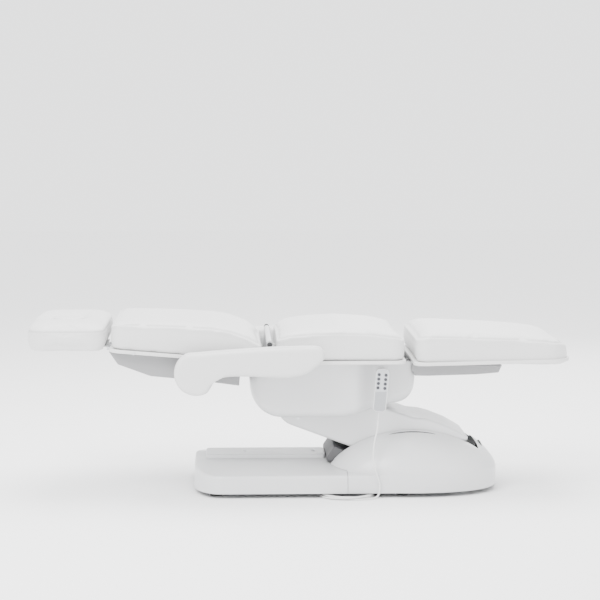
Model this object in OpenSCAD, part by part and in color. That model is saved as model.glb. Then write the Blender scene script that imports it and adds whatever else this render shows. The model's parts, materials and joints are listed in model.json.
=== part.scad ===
// Electric facial treatment bed with four motors, lying flat at its lowest height.
// X runs along the bed from the head (-X) to the feet (+X), Z is up, the floor is Z = 0.
// Side-plane points are written [x, z]; angles about Y turn the head side up when positive.

/* [Upholstery] */
// Length of the headrest cushion
head_len = 273; // [240:1:330]
// Length of the backrest cushion
back_len = 545; // [480:1:660]
// Length of the seat cushion
seat_len = 467; // [440:1:565]
// Length of the legrest cushion
leg_len = 558; // [465:1:670]
// Width of the cushions
pad_w = 600; // [560:1:720]
// Gap between headrest and backrest
head_gap = 12; // [10:1:20]
// Gap between backrest and seat, which holds the back hinge tube
back_gap = 26; // [25:1:32]
// Gap between seat and legrest
leg_gap = 19; // [18:1:26]
// Height of the seat cushion at its crown
seat_t = 122; // [100:1:146]
// Height of the headrest cushion
head_t = 100; // [84:1:120]
// Thickness of the backing boards
board_t = 12; // [9:1:15]
// Corner radius of the cushions in plan
pad_r = 45; // [30:1:60]
// Radius of the face hole in the headrest
face_r = 62; // [50:1:75]
// Gap around the face plug
face_gap = 1; // [0.5:0.1:2]

/* [Armrests] */
// Width of an armrest
rest_w = 73; // [60:1:88]
// Gap between a cushion and an armrest
rest_gap = 12; // [11:1:20]
// Length of an armrest from its pivot to its tip
rest_len = 446; // [372:1:535]
// Radius of the drooping end of an armrest
rest_bulb = 80; // [70:1:90]

/* [Seat tub] */
// Half width of the tub under the seat
tub_half = 240; // [222:1:288]
// Half width of the tub's narrow end
tub_nose_half = 182; // [176:1:200]
// Depth of the tub
tub_depth = 191; // [180:1:200]
// Wall of the moulded covers
wall = 4; // [3:0.5:5]
// Gap between the tub and the seat board
tub_gap = 3; // [3:0.5:5]

/* [Lift] */
// Distance between the lift arm's two pivots
arm_len = 459.5; // [430:0.5:552]
// Angle of the lift arm above level, at rest
arm_rest = 20.6; // [19:0.1:24]
// Height of the lower pivot above the floor
low_pivot_z = 148; // [145:1:155]
// Width of the lift arm's cover
arm_w = 300; // [280:1:306]
// Radius of the cover round the upper pivot
arm_r = 82; // [76:1:84]
// Distance of the parallel link below the arm
link_drop = 58; // [54:1:60]
// Radius of the pivot shafts
shaft_r = 12.5; // [10:0.5:14]
// Running clearance of shafts and rods
run_gap = 0.05; // [0.02:0.01:0.1]

/* [Base] */
// Width of the base plate
base_w = 610; // [560:1:730]
// Distance from the lower pivot to the base's head-side end
base_reach = 805; // [700:1:960]
// Height of the plate's vertical side above the floor
base_side_z = 72; // [66:1:84]
// Height of the plate's flat top
base_top_z = 104; // [102:1:106]
// Gap between the base and the floor
base_lift = 16; // [15:1:20]
// Half width of the central ridge
ridge_half = 79; // [66:1:94]
// Height of the ridge above the plate
ridge_h = 14; // [10:1:17]
// Radius of the round dome in plan
dome_r = 310; // [300:1:372]
// Height of the dome above the floor
dome_h = 267; // [262:1:275]

/* [Handset] */
// Width of the handset
set_w = 46; // [40:1:55]
// Length of the handset
set_l = 153; // [135:1:180]
// Thickness of the handset
set_t = 24; // [20:1:28]
// Lean of the handset
set_lean = 5; // [0:0.5:8]
// Radius of a button
button_r = 5.5; // [4.5:0.1:6]
// Stand-out of a button
button_out = 2; // [1.5:0.1:2.4]

/* [Hidden] */

$fn = 48;
EPS = 0.01;
// Colours
shell_white = "#f3f3f3";
leather_white = "#f7f7f6";
under_grey = "#dcdcdc";
steel_grey = "#8c9094";
trim_black = "#1c1c1e";

// Positions along the bed
bed_len = head_len + head_gap + back_len + back_gap + seat_len + leg_gap + leg_len;
head_x0 = -bed_len / 2;
head_x1 = head_x0 + head_len;
back_x0 = head_x1 + head_gap;
back_x1 = back_x0 + back_len;
seat_x0 = back_x1 + back_gap;
seat_x1 = seat_x0 + seat_len;
leg_x0 = seat_x1 + leg_gap;
leg_x1 = leg_x0 + leg_len;

// Pivots of the lift
top_inset = 94;
up_pivot = [seat_x0 + top_inset, low_pivot_z + arm_len * sin(arm_rest)];
low_pivot = [up_pivot[0] + arm_len * cos(arm_rest), low_pivot_z];

// Heights of the seat
tub_rise = 153.5;
tub_top = up_pivot[1] + tub_rise;
board_z = tub_top + tub_gap;
seat_z = board_z + board_t;

// Hinges of the back and the legrest
back_hinge = [seat_x0 - back_gap / 2 - 1, tub_top + 75.5];
hinge_tube_r = 9.5;
hinge_pin_r = 6;
leg_hinge = [seat_x1 - 40, tub_top - 75.5];
leg_end_r = 74;
leg_pin_r = 10;

// The back leans up towards the head; its own frame has the hinge at the origin
back_rake = 4.7;
back_under = -73;
back_y_in = 246;
bar_t = 7;
rail_h = 14;

// The armrest pivot in the side plane
rest_pivot = back_hinge + [-253, -92];
rest_pin_r = 15;
rest_sleeve_r = 24;
rest_y0 = pad_w / 2 + rest_gap;
rest_y1 = rest_y0 + rest_w;
link_off = [0, -45];
link_y = pad_w / 2 + 2;
link_t = 5;
lever_t = 4;

// Actuator anchors, in the side plane
lift_anchor = up_pivot + [60, -20];
lift_lug = low_pivot + [-58, -64];
back_anchor = [leg_hinge[0] - 83, tub_top - 43];
back_lug = back_hinge + [70, -91];
leg_anchor = [up_pivot[0] + 45, tub_top - 38];
leg_lug = leg_hinge + [0, -48];
tilt_anchor = [leg_hinge[0] - 83, tub_top - 39];
tilt_lug = up_pivot + [0, 114];
side_act_y = 100;

// Actuator sizes
act_tube_r = 20;
act_rod_r = 10;
act_motor_r = 22;
act_motor_off = 46;
act_pin_r = 8;
act_box = 50;
fork_gap = 1;
lug_t = 12;

// Base positions
base_x0 = low_pivot[0] - base_reach;
dome_x = low_pivot[0] - 30;
seam_x = dome_x - 236;
base_corner = [100, 185];
dome_side_z = base_side_z + 6;
channel_half = 158;
tower_y = 156;
tower_t = 10;
rail_y = 230;
rail_z0 = base_lift + 6;
rail_z1 = rail_z0 + 30;

function arc(c, r, a0, a1, n = 12) =
    [for (i = [0:n]) let (a = a0 + (a1 - a0) * i / n) c + r * [cos(a), sin(a)]];
// Part of an ellipse with half axes rx and ry
function oval(c, rx, ry, a0, a1, n = 12) =
    [for (i = [0:n]) let (a = a0 + (a1 - a0) * i / n) c + [rx * cos(a), ry * sin(a)]];
function swing(p, c, a) = c + [(p - c)[0] * cos(a) + (p - c)[1] * sin(a),
    -(p - c)[0] * sin(a) + (p - c)[1] * cos(a)];
// Moves a point from the back's own frame to its place
function from_back(p) = swing(back_hinge + p, back_hinge, back_rake);
function below(p, q) = atan2(p[1] - q[1], q[0] - p[0]);

// Extrudes a side-plane outline between two Y values
module prism(y0, y1) {
    translate([0, y1, 0]) rotate([90, 0, 0]) linear_extrude(y1 - y0) children();
}

// Round bar along Y through a side-plane point
module pin(c, r, y0, y1) {
    translate([c[0], y0, c[1]]) rotate([-90, 0, 0]) cylinder(r = r, h = y1 - y0);
}

module both_sides() {
    children();
    mirror([0, 1, 0]) children();
}

// Box given by its lowest and highest corners
module block(lo, hi) {
    translate(lo) cube(hi - lo);
}

// Flat bar with round ends between two side-plane points
module bar(a, b, r, y0, y1) {
    u = (b - a) / norm(b - a);
    n = [-u[1], u[0]];
    pin(a, r, y0, y1);
    pin(b, r, y0, y1);
    prism(y0, y1) polygon([a + n * r, a - n * r, b - n * r, b + n * r]);
}

module rounded_rect(x0, x1, y0, y1, r) {
    translate([x0 + r, y0]) square([x1 - x0 - 2 * r, y1 - y0]);
    translate([x0, y0 + r]) square([x1 - x0, y1 - y0 - 2 * r]);
    for (x = [x0 + r, x1 - r], y = [y0 + r, y1 - r]) translate([x, y]) circle(r);
}

// Turns the back's own frame into place
module in_back() {
    translate([back_hinge[0], 0, back_hinge[1]]) rotate([0, back_rake, 0]) children();
}

// ---------- Actuators ----------

// Puts an actuator drawn along +X between two side-plane points
module along(from, to, y) {
    translate([from[0], y, from[1]]) rotate([0, below(from, to), 0]) children();
}

module actuator_body(tube_l, motor) {
    difference() {
        union() {
            rotate([90, 0, 0]) cylinder(r = 14, h = 16, center = true);
            translate([0, -8, -13]) cube([20, 16, 26]);
            block([17, -22, -24], [12 + act_box, 22, 26]);
            block([19, min(0, motor[0]) - 20, min(0, motor[1]) - 20],
                [10 + act_box, max(0, motor[0]) + 20, max(0, motor[1]) + 20]);
            rotate([0, 90, 0]) cylinder(r = act_tube_r, h = tube_l);
            translate([21, motor[0], motor[1]]) rotate([0, 90, 0]) cylinder(r = act_motor_r, h = 104);
        }
        rotate([90, 0, 0]) cylinder(r = act_pin_r + run_gap, h = 60, center = true);
        for (s = [-1, 1]) translate([-16, s > 0 ? 8 : -38, -30]) cube([32.9, 30, 60]);
        translate([24, 0, 0]) rotate([0, 90, 0]) cylinder(r = act_rod_r + run_gap, h = tube_l);
    }
}

// Rod whose fork straddles a lug at distance len; its inner end is start from the rear pivot
module actuator_rod(len, start) {
    inner = lug_t / 2 + fork_gap;
    translate([start, 0, 0]) rotate([0, 90, 0]) cylinder(r = act_rod_r, h = len - 20 - start);
    difference() {
        union() {
            block([len - 28, -inner - 6, -12], [len - 17, inner + 6, 12]);
            for (s = [-1, 1]) translate([0, s * (inner + 3), 0]) {
                translate([len, 0, 0]) rotate([90, 0, 0]) cylinder(r = 13, h = 6, center = true);
                block([len - 20, -3, -12], [len, 3, 12]);
            }
        }
        translate([len, 0, 0]) rotate([90, 0, 0]) cylinder(r = act_pin_r, h = 60, center = true);
    }
}

module lug(c, y, foot) {
    difference() {
        bar(c, foot, 12, y - lug_t / 2, y + lug_t / 2);
        pin(c, act_pin_r, y - 10, y + 10);
    }
}

// ---------- Base ----------

// Cross-section of the base plate, inset by d
function plate_outline(d) = let (w = base_w / 2 - d) [
    [-w, base_lift - EPS], [-w, base_side_z - d], [-w + 22, base_side_z + 7 - d],
    [-ridge_half, base_top_z - d], [ridge_half, base_top_z - d],
    [w - 22, base_side_z + 7 - d], [w, base_side_z - d], [w, base_lift - EPS]];

module plate_prism(x0, x1, d) {
    translate([x0, 0, 0]) rotate([90, 0, 90]) linear_extrude(x1 - x0) polygon(plate_outline(d));
}

module plate_plan(d) {
    w = base_w / 2 - d;
    c = base_corner;
    polygon(concat(
        oval([base_x0 + c[0], w - c[1]], c[0] - d, c[1], 90, 180),
        oval([base_x0 + c[0], c[1] - w], c[0] - d, c[1], 180, 270),
        [[seam_x - d, -w], [seam_x - d, w]]));
}

// Radial outline of the dome, inset by d: a low upright side and a long round shoulder,
// whose height falls from the crown as (1 - t^1.8)^0.65 of the radius t
function dome_outline(d) = concat(
    [[0, base_lift - EPS], [dome_r - d, base_lift - EPS]],
    [for (a = [90:-7.5:0]) let (t = sin(a)) [(dome_r - d) * t,
        dome_side_z + (dome_h - dome_side_z - d) * pow(max(0, 1 - pow(t, 1.8)), 0.65)]]);
function dome_side_y(x) = sqrt(pow(dome_r, 2) - pow(x - dome_x, 2));

module dome_solid(d) {
    translate([dome_x, 0, 0]) rotate_extrude($fn = 96) polygon(dome_outline(d));
}

module dome_cover() color(shell_white) {
    slot_end = dome_x + 238;
    difference() {
        union() {
            dome_solid(0);
            plate_prism(seam_x + 1, dome_x, 0);
        }
        dome_solid(wall);
        plate_prism(seam_x - 5, dome_x + 5, wall);
        block([base_x0, -base_w, 0], [seam_x + 1, base_w, base_side_z + 9]);
        plate_prism(base_x0, seam_x + 1, -1.5);
        block([seam_x - 200, -channel_half, base_top_z - wall - 1], [slot_end, channel_half, dome_h + 5]);
        block([seam_x - 200, -channel_half, base_lift + 2], [seam_x + 4, channel_half, dome_h]);
        block([seam_x + 90, -channel_half, base_lift + 2], [slot_end, channel_half, dome_h]);
        block([dome_x - 16, dome_r - 20, 33], [dome_x + 16, dome_r + 5, 67]);
        translate([0, 0, -1]) cylinder(r = 2000, h = base_lift + 1);
    }
}

module slot_liner() color(trim_black) {
    out = channel_half + tower_t + 6;
    intersection() {
        dome_solid(wall + 2);
        difference() {
            block([seam_x + 100, -out - 2, rail_z1 + 1], [dome_x + 262, out + 2, dome_h]);
            block([seam_x + 90, -out, rail_z1 - 1], [dome_x + 260, out, dome_h + 1]);
        }
    }
}

module base_plate_cover() color(shell_white) {
    intersection() {
        difference() {
            plate_prism(base_x0 - 1, seam_x, 0);
            intersection() {
                plate_prism(base_x0 + wall, seam_x + 1, wall);
                translate([0, 0, -1]) linear_extrude(base_top_z) plate_plan(wall);
                block([base_x0, -base_w, 0], [seam_x - wall, base_w, base_top_z]);
            }
            block([seam_x - 20, -ridge_half - 4, 0], [seam_x + 1, ridge_half + 4, base_top_z - wall]);
            for (s = [-1, 1]) block([seam_x - 20, s * 230 - 22, 0], [seam_x + 1, s * 230 + 22, rail_z1 + 2]);
        }
        translate([0, 0, base_lift]) linear_extrude(base_top_z) plate_plan(0);
    }
}

module ridge_cover() color(shell_white) {
    x0 = base_x0 + 42;
    difference() {
        translate([0, 0, base_top_z]) linear_extrude(ridge_h)
            rounded_rect(x0, seam_x - 68, -ridge_half, ridge_half, 12);
        translate([0, 0, base_top_z - 1]) linear_extrude(ridge_h - 2)
            rounded_rect(x0 + 3, seam_x - 71, 3 - ridge_half, ridge_half - 3, 9);
    }
}

// Sloped front of the dome's channel, just under the lift arm
module front_shield() color(under_grey) {
    x0 = seam_x - 67;
    z0 = base_top_z + 0.5;
    slope = tan(arm_rest + 2.2);
    z_top = base_top_z + 52;
    run = (z_top - z0 - 8) / slope;
    difference() {
        prism(-channel_half + 8, channel_half - 8)
            polygon([[x0, z0], [x0, z0 + 13], [x0 + 26, z_top], [x0 + 26 + run, z0 + 8],
                [x0 + 26 + run, z0]]);
        prism(-channel_half + 11, channel_half - 11)
            polygon([[x0 + 3, z0 - 1], [x0 + 3, z0 + 12], [x0 + 27, z_top - 5], [x0 + 23 + run, z0 + 5],
                [x0 + 23 + run, z0 - 1]]);
    }
}

module base_frame() color(steel_grey) {
    cross = low_pivot[0];
    difference() {
        union() {
            both_sides() {
                block([base_x0 + 60, rail_y - 20, rail_z0], [cross + 120, rail_y + 20, rail_z1]);
                tower = [[cross - 45, rail_z1 - 1], [cross - 30, low_pivot_z], [cross + 30, low_pivot_z],
                    [cross + 45, rail_z1 - 1]];
                prism(tower_y, tower_y + tower_t) polygon(tower);
                pin(low_pivot, 30, tower_y, tower_y + tower_t);
                bar(low_pivot - [0, link_drop], [cross, rail_z1 + 14], 14, 84, 92);
                pin(low_pivot - [0, link_drop], 6, 84, 112);
                block([cross + 200, 80, rail_z0], [cross + 240, 120, rail_z1]);
            }
            for (x = [base_x0 + 60, seam_x + 100, cross + 80])
                block([x, -rail_y, rail_z0], [x + 40, rail_y, rail_z1]);
            block([cross - 84, -rail_y, rail_z0], [cross + 60, rail_y, rail_z1]);
            block([cross + 60, -120, rail_z0], [cross + 240, 120, rail_z0 + 12]);
            lug(lift_lug, 0, [lift_lug[0] + 6, rail_z1 + 6]);
            block([gland_at[0] - 16, -rail_y, rail_z0], [gland_at[0] + 16, gland_at[1] + 16, rail_z0 + 5]);
        }
        both_sides() pin(low_pivot, shaft_r, tower_y - 1, tower_y + tower_t + 1);
    }
}

module lower_pivot_shaft() color("#b8bcc0") {
    pin(low_pivot, shaft_r, -tower_y - tower_t - 3, tower_y + tower_t + 3);
}

module levelling_feet() color(trim_black) {
    for (s = [-1, 1], p = [[base_x0 + 80, rail_y], [low_pivot[0] - 70, rail_y], [low_pivot[0] + 220, 100]])
        translate([p[0], s * p[1], 0]) {
            cylinder(r = 22, h = 10);
            translate([0, 0, 10 - EPS]) cylinder(r = 8, h = rail_z0 - 10 + EPS);
        }
}

module cover_screws() color("#c9ccce") {
    for (x = [base_x0 + 182, seam_x - 110]) translate([x, 0, base_top_z + ridge_h])
        cylinder(r = 7, h = 1.6);
    x = low_pivot[0] + 8;
    both_sides() pin([x, 32], 5, dome_side_y(x) - 1, dome_side_y(x) + 1.4);
}

module control_box() color("#3a3c40") {
    block([dome_x - 60, 182, rail_z1], [dome_x + 70, 246, rail_z1 + 68]);
    for (i = [0:3]) translate([28 * i, 0, 0])
        block([dome_x - 48, 178, rail_z1 + 14], [dome_x - 30, 183, rail_z1 + 26]);
}

module mains_inlet() color(trim_black) {
    difference() {
        union() {
            block([dome_x - 15.5, dome_r - 19, 33.5], [dome_x + 15.5, dome_r + 1, 66.5]);
            block([dome_x - 21, dome_r + 0.2, 30], [dome_x + 21, dome_r + 3, 70]);
        }
        block([dome_x - 12, dome_r - 14, 40], [dome_x + 12, dome_r + 4, 60]);
    }
    for (x = [-7, 0, 7])
        translate([dome_x + x, dome_r - 15, 50]) rotate([-90, 0, 0]) cylinder(r = 1.2, h = 13);
}

// ---------- Handset cord ----------

cord_r = 3;
coil_c = [165, -258];
coil_layers = 2;
coil_turns = 2;
coil_out = 91;
cord_route = [[271.6, -262, 266.4], [270.5, -262, 250], [268, -265, 232], [263, -272, 214], [258, -282, 195],
    [254, -292, 172], [252, -301, 148], [254, -308, 124], [259, -311, 102], [265, -311, 82],
    [271, -311, 62], [274, -311.5, 42], [273, -314, 24], [268, -319, 11], [258, -327, 5], [243, -335, 3.2],
    [225, -342, 3.2], [206, -347, 3.2], [188, -349.5, 3.2], [170, -346, 3.2]];
gland_at = [97, -163];
tail_route = [[70.7, -258, 3.2], [71.5, -240, 3.2], [74, -221, 3.4], [81, -201, 4], [90, -183, 6],
    [95.5, -169, 10], [97, -163, 15]];

function smooth(p, k, t) = let (
    a = p[max(k - 1, 0)], b = p[k], c = p[k + 1], d = p[min(k + 2, len(p) - 1)])
    0.5 * (2 * b + (c - a) * t + (2 * a - 5 * b + 4 * c - d) * t * t + (3 * b - a - 3 * c + d) * t * t * t);
function path_points(p, n) = concat([for (k = [0:len(p) - 2], i = [0:n - 1]) smooth(p, k, i / n)],
    [p[len(p) - 1]]);
function unit(v) = v / norm(v);

// Sweeps a round section of eight sides along a route
module swept(route, r, n) {
    q = path_points(route, n);
    last = len(q) - 1;
    ring = [for (i = [0:last]) let (
        t = unit(q[min(i + 1, last)] - q[max(i - 1, 0)]),
        u = unit(cross(t, abs(t[1]) < 0.9 ? [0, 1, 0] : [1, 0, 0])),
        v = cross(t, u)) [for (j = [0:7]) q[i] + r * (cos(45 * j) * u + sin(45 * j) * v)]];
    points = [for (i = [0:last], j = [0:7]) ring[i][j]];
    sides = [for (i = [0:last - 1], j = [0:7]) let (k = (j + 1) % 8)
        [8 * i + j, 8 * i + k, 8 * i + 8 + k, 8 * i + 8 + j]];
    polyhedron(points, concat(sides, [[7, 6, 5, 4, 3, 2, 1, 0]], [[for (j = [0:7]) 8 * last + j]]));
}

module cord_tube() color(leather_white) {
    swept(cord_route, cord_r, 3);
    swept(tail_route, cord_r, 2);
}

module cord_coil() color(leather_white) {
    translate([coil_c[0], coil_c[1], 0.2]) rotate_extrude($fn = 64)
        translate([coil_out - 2 * cord_r * coil_turns, 0])
            square([2 * cord_r * coil_turns, 2 * cord_r * coil_layers]);
}

module cord_gland() color(shell_white) {
    translate([gland_at[0], gland_at[1], 15]) cylinder(r = 9, h = rail_z0 - 15);
}

// ---------- Lift arm ----------

function arm_outline() = let (
    up = arm_rest - 2.2, dn = arm_rest + 2.2,
    nose = [for (p = [[-27, 111], [14, 107], [52, 97], [112, 73], [157, 47], [172, 37],
            [166, 24], [112, 20]])
        low_pivot + p])
    concat(arc(up_pivot, arm_r, 90 - up, 270 - dn, 16), arc(low_pivot, arm_r, 262 - dn, 375, 14),
        [for (i = [len(nose) - 1:-1:0]) nose[i]]);

module arm_cover() color(shell_white) {
    difference() {
        prism(-arm_w / 2, arm_w / 2) polygon(arm_outline());
        prism(wall - arm_w / 2, arm_w / 2 - wall) offset(delta = -wall) polygon(arm_outline());
        // Room for the carrier's lever above, and for the base's lugs below
        block([up_pivot[0] - 120, -60, up_pivot[1] + 20], [up_pivot[0] + 45, 60, up_pivot[1] + 120]);
        inside = arm_w / 2 - wall;
        block([low_pivot[0] - 158, -inside, 0], [low_pivot[0] + 190, inside, low_pivot_z - 10]);
        block([low_pivot[0] - 30, -inside, 0], [low_pivot[0] + 165, inside, low_pivot_z + 34]);
        for (s = [-1, 1]) {
            pin(up_pivot, shaft_r + 4, s * arm_w / 2 - 10, s * arm_w / 2 + 10);
            pin(low_pivot, shaft_r + 4, s * arm_w / 2 - 10, s * arm_w / 2 + 10);
        }
    }
}

module lift_arm() color(steel_grey) {
    u = (low_pivot - up_pivot) / arm_len;
    n = [-u[1], u[0]];
    difference() {
        union() {
            both_sides() bar(up_pivot, low_pivot, 30, 120, 128);
            for (t = [150, 300]) pin(up_pivot + t * u + 44 * n, 14, -128, 128);
            for (t = [150, 300]) both_sides() pin(up_pivot + t * u + 36 * n, 24, 120, 128);
            pin(lift_anchor, act_pin_r, -128, 128);
            both_sides() pin(up_pivot + 240 * u, 16, 128, arm_w / 2 - wall);
        }
        both_sides() {
            pin(up_pivot, shaft_r + run_gap, 110, 140);
            pin(low_pivot, shaft_r + run_gap, 110, 140);
        }
    }
}

module lift_motor() color(trim_black) along(lift_anchor, lift_lug, 0)
    actuator_body(270, [-act_motor_off, 0]);

module lift_rod() color("#c4c8cc") along(lift_anchor, lift_lug, 0)
    actuator_rod(norm(lift_lug - lift_anchor), 110);

module parallel_link() color(steel_grey) {
    a = up_pivot - [0, link_drop];
    b = low_pivot - [0, link_drop];
    both_sides() difference() {
        union() {
            bar(a, b, 9, 98, 106);
            for (c = [a, b]) pin(c, 12, 98, 106);
        }
        pin(b, 6 + run_gap, 90, 110);
        pin(a, 7, 90, 110);
    }
}

module carrier_head() color(steel_grey) {
    pin(up_pivot, shaft_r, -166, 166);
    pin(up_pivot, 28, -96, 96);
    both_sides() {
        bar(up_pivot, up_pivot - [0, link_drop], 14, 84, 92);
        pin(up_pivot - [0, link_drop], 6, 84, 110);
    }
    lug(tilt_lug, 0, up_pivot + [0, 26]);
}

// ---------- Seat ----------

module anchor_ears(c, y, top) {
    for (s = [-1, 1]) block([c[0] - 12, y + s * 13 - 3, c[1] - 12], [c[0] + 12, y + s * 13 + 3, top]);
    pin(c, act_pin_r, y - 16, y + 16);
}

module seat_frame() color(steel_grey) {
    z0 = tub_top - 32;
    z1 = tub_top - 2;
    ear_y = 156;
    hinge_y = back_y_in + bar_t + 1.5;
    link_seat = back_hinge + link_off;
    plate_x = seat_x0 + 4;
    difference() {
        union() {
            both_sides() {
                block([seat_x0 + 8, 134, z0], [leg_hinge[0] - 8, 164, z1]);
                prism(ear_y, 164) polygon([up_pivot + [-34, 0], up_pivot + [34, 0], [up_pivot[0] + 60, z1],
                    [up_pivot[0] - 60, z1]]);
                pin(up_pivot, 30, ear_y, 164);
                // Plate that reaches over the tub's edge, and the upright that holds the back hinge
                block([plate_x, 140, tub_top], [seat_x0 + 50, hinge_y + bar_t, board_z]);
                block([seat_x0 + 10, 140, z1 - 1], [seat_x0 + 46, 160, tub_top + 1]);
                block([back_hinge[0] - 10, hinge_y, tub_top], [plate_x + 1, hinge_y + bar_t, board_z]);
                block([back_hinge[0] - 10, hinge_y, tub_top],
                    [back_hinge[0] + 10, hinge_y + bar_t, back_hinge[1]]);
                pin(back_hinge, 10, hinge_y, hinge_y + bar_t);
                pin(link_seat, 5, hinge_y, link_y + link_t);
                bar(leg_hinge, leg_hinge + [-30, 50], 16, 128, 136);
            }
            block([back_anchor[0] - 20, -135, z1 - 8], [back_anchor[0] + 20, 135, z1]);
            block([leg_anchor[0] - 20, 80, z1 - 8], [leg_anchor[0] + 20, 135, z1]);
            anchor_ears(back_anchor, -side_act_y, z1 - 4);
            anchor_ears(leg_anchor, side_act_y, z1 - 4);
            anchor_ears(tilt_anchor, 0, z1 - 4);
        }
        both_sides() {
            pin(up_pivot, shaft_r + run_gap, ear_y - 1, 165);
            pin(back_hinge, hinge_pin_r + run_gap, hinge_y - 1, hinge_y + bar_t + 1);
            pin(leg_hinge, leg_pin_r + run_gap, 120, 140);
        }
    }
}

// Side outline of the tub, inset by d
function tub_side(d, lid) = let (
    x0 = seat_x0 - 82, low = tub_top - tub_depth, r = 113, rise = [leg_hinge[0] - 183, low])
    concat([[x0 + d, tub_top + lid]], arc([x0 + r, low + r], r - d, 180, 270, 10),
        [[rise[0], low + d]], arc(leg_hinge, leg_end_r - d, 272, 450, 16),
        [[leg_hinge[0], tub_top + lid]]);

// Plan outline of the tub, inset by d: broad under the seat, narrow at the legrest
function tub_plan(d) = let (
    x0 = seat_x0 - 82 + d, x1 = leg_hinge[0] + leg_end_r - d, r = 60,
    w = tub_half - d, n = tub_nose_half - d,
    half = concat(arc([x0 + r, w - r], r, 180, 90, 8), [[leg_hinge[0] - 145, w]],
        [for (t = [0.2:0.2:0.8]) [leg_hinge[0] - 130 + 60 * t, w - (w - n) * (1 - cos(180 * t)) / 2]],
        [[leg_hinge[0] - 60, n], [x1 - 20, n]], arc([x1 - 20, n - 20], 20, 90, 0, 4)))
    concat(half, [for (i = [len(half) - 1:-1:0]) [half[i][0], -half[i][1]]]);

module tub_body(d, lid) {
    intersection() {
        prism(-tub_half - 1, tub_half + 1) polygon(tub_side(d, lid));
        linear_extrude(tub_top + 20) polygon(tub_plan(d));
    }
}

module seat_tub() color(shell_white) {
    slot = 46;
    difference() {
        tub_body(0, 0);
        tub_body(wall, 5);
        // Opening for the lift arm, the back's crank and the legrest's arms
        block([up_pivot[0] - arm_r - 6, -154, 0], [leg_hinge[0] - 3, 154, tub_top - tub_depth + wall + 9]);
        block([up_pivot[0] + 150, -154, 0], [leg_hinge[0] - 3, 154, leg_hinge[1] - 40]);
        block([seat_x0 - 90, -side_act_y - 30, tub_top - 76], [seat_x0 - 60, 30 - side_act_y, tub_top + 1]);
        block([leg_hinge[0] - 3, -slot, 0], [leg_hinge[0] + leg_end_r + 1, slot, tub_top + 1]);
    }
}

module cushion(outline, x0, x1, half, r) {
    intersection() {
        prism(-half, half) polygon(outline);
        linear_extrude(1000) rounded_rect(x0, x1, -half, half, r);
    }
}

module seat_board() color("#5a4a3c") {
    difference() {
        translate([0, 0, board_z]) linear_extrude(board_t)
            rounded_rect(seat_x0 + 4, seat_x1 - 4, 4 - pad_w / 2, pad_w / 2 - 4, 20);
        block([back_hinge[0], -side_act_y - 14, 0], [seat_x0 + 14, 14 - side_act_y, board_z + board_t + 1]);
    }
}

module seat_cushion() color(leather_white) {
    z = seat_z;
    outline = [[seat_x0, z], [seat_x0, z + 44], [seat_x0 + 20, z + 86], [seat_x0 + 70, z + 110],
        [(seat_x0 + seat_x1) / 2, z + seat_t], [seat_x1 - 80, z + 112], [seat_x1 - 24, z + 90],
        [seat_x1, z + 46], [seat_x1, z]];
    cushion(outline, seat_x0, seat_x1, pad_w / 2, pad_r);
}

// ---------- Handset ----------

set_c = [leg_hinge[0] - 52, tub_top - 90];
set_y = -262;
button_dx = 12;
button_dz = 15.5;
button_top = 55;

module in_handset() {
    translate([set_c[0], set_y, set_c[1]]) rotate([0, set_lean, 0]) children();
}

// Centre of a button in the handset's own side plane, two columns of four
function button_at(i) = [i % 2 == 0 ? -button_dx : button_dx, button_top - button_dz * floor(i / 2)];

module handset_plate(inset, y0, y1) {
    prism(y0, y1) rounded_rect(inset - set_w / 2, set_w / 2 - inset, inset - set_l / 2, set_l / 2 - inset,
        14 - inset);
}

module button_holes() {
    for (i = [0:7]) pin(button_at(i), button_r + 0.3, -set_t / 2 - 1, 5 - set_t / 2);
}

module handset_shell() color(shell_white) in_handset() {
    difference() {
        handset_plate(0, -set_t / 2, set_t / 2);
        handset_plate(3, -set_t / 2 - 1, 1.5 - set_t / 2);
        button_holes();
    }
}

module handset_face() color("#b9bbbe") in_handset() {
    difference() {
        handset_plate(3.2, -set_t / 2, 1.4 - set_t / 2);
        button_holes();
    }
}

module button(i) color("#3c3d42") in_handset() {
    pin(button_at(i), button_r, -set_t / 2 - button_out, 2.6 - set_t / 2);
}

module button_1() button(0);
module button_2() button(1);
module button_3() button(2);
module button_4() button(3);
module button_5() button(4);
module button_6() button(5);
module button_7() button(6);
module button_8() button(7);

module handset_relief() color(shell_white) in_handset() {
    translate([0, 0, -set_l / 2 - 30]) cylinder(r1 = 4, r2 = 5.5, h = 30 + EPS);
}

module handset_hook() color(shell_white) {
    top = board_z;
    back_y = set_y + set_t / 2 + 1;
    block([set_c[0] - 12, back_y - 20, top - 2.5], [set_c[0] + 12, back_y + 24, top]);
    block([set_c[0] - 12, back_y, top - 40], [set_c[0] + 12, back_y + 3, top - 2]);
    block([set_c[0] - 8, back_y - 1.0, top - 34], [set_c[0] + 8, back_y + 0.5, top - 20]);
}

// ---------- Seat actuators ----------

module back_motor() color(trim_black) along(back_anchor, back_lug, -side_act_y)
    actuator_body(215, [act_motor_off, 0]);

module back_rod() color("#c4c8cc") along(back_anchor, back_lug, -side_act_y)
    actuator_rod(norm(back_lug - back_anchor), 45);

module leg_motor() color(trim_black) along(leg_anchor, leg_lug, side_act_y)
    actuator_body(190, [-act_motor_off, 0]);

module leg_rod() color("#c4c8cc") along(leg_anchor, leg_lug, side_act_y)
    actuator_rod(norm(leg_lug - leg_anchor), 100);

module tilt_motor() color(trim_black) along(tilt_anchor, tilt_lug, 0)
    actuator_body(160, [0, act_motor_off]);

module tilt_rod() color("#c4c8cc") along(tilt_anchor, tilt_lug, 0)
    actuator_rod(norm(tilt_lug - tilt_anchor), 100);

// ---------- Backrest ----------

// Distance from the hinge to the back cushion's two ends, along the back
back_near = back_hinge[0] - back_x1;
back_far = back_hinge[0] - back_x0;

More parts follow.
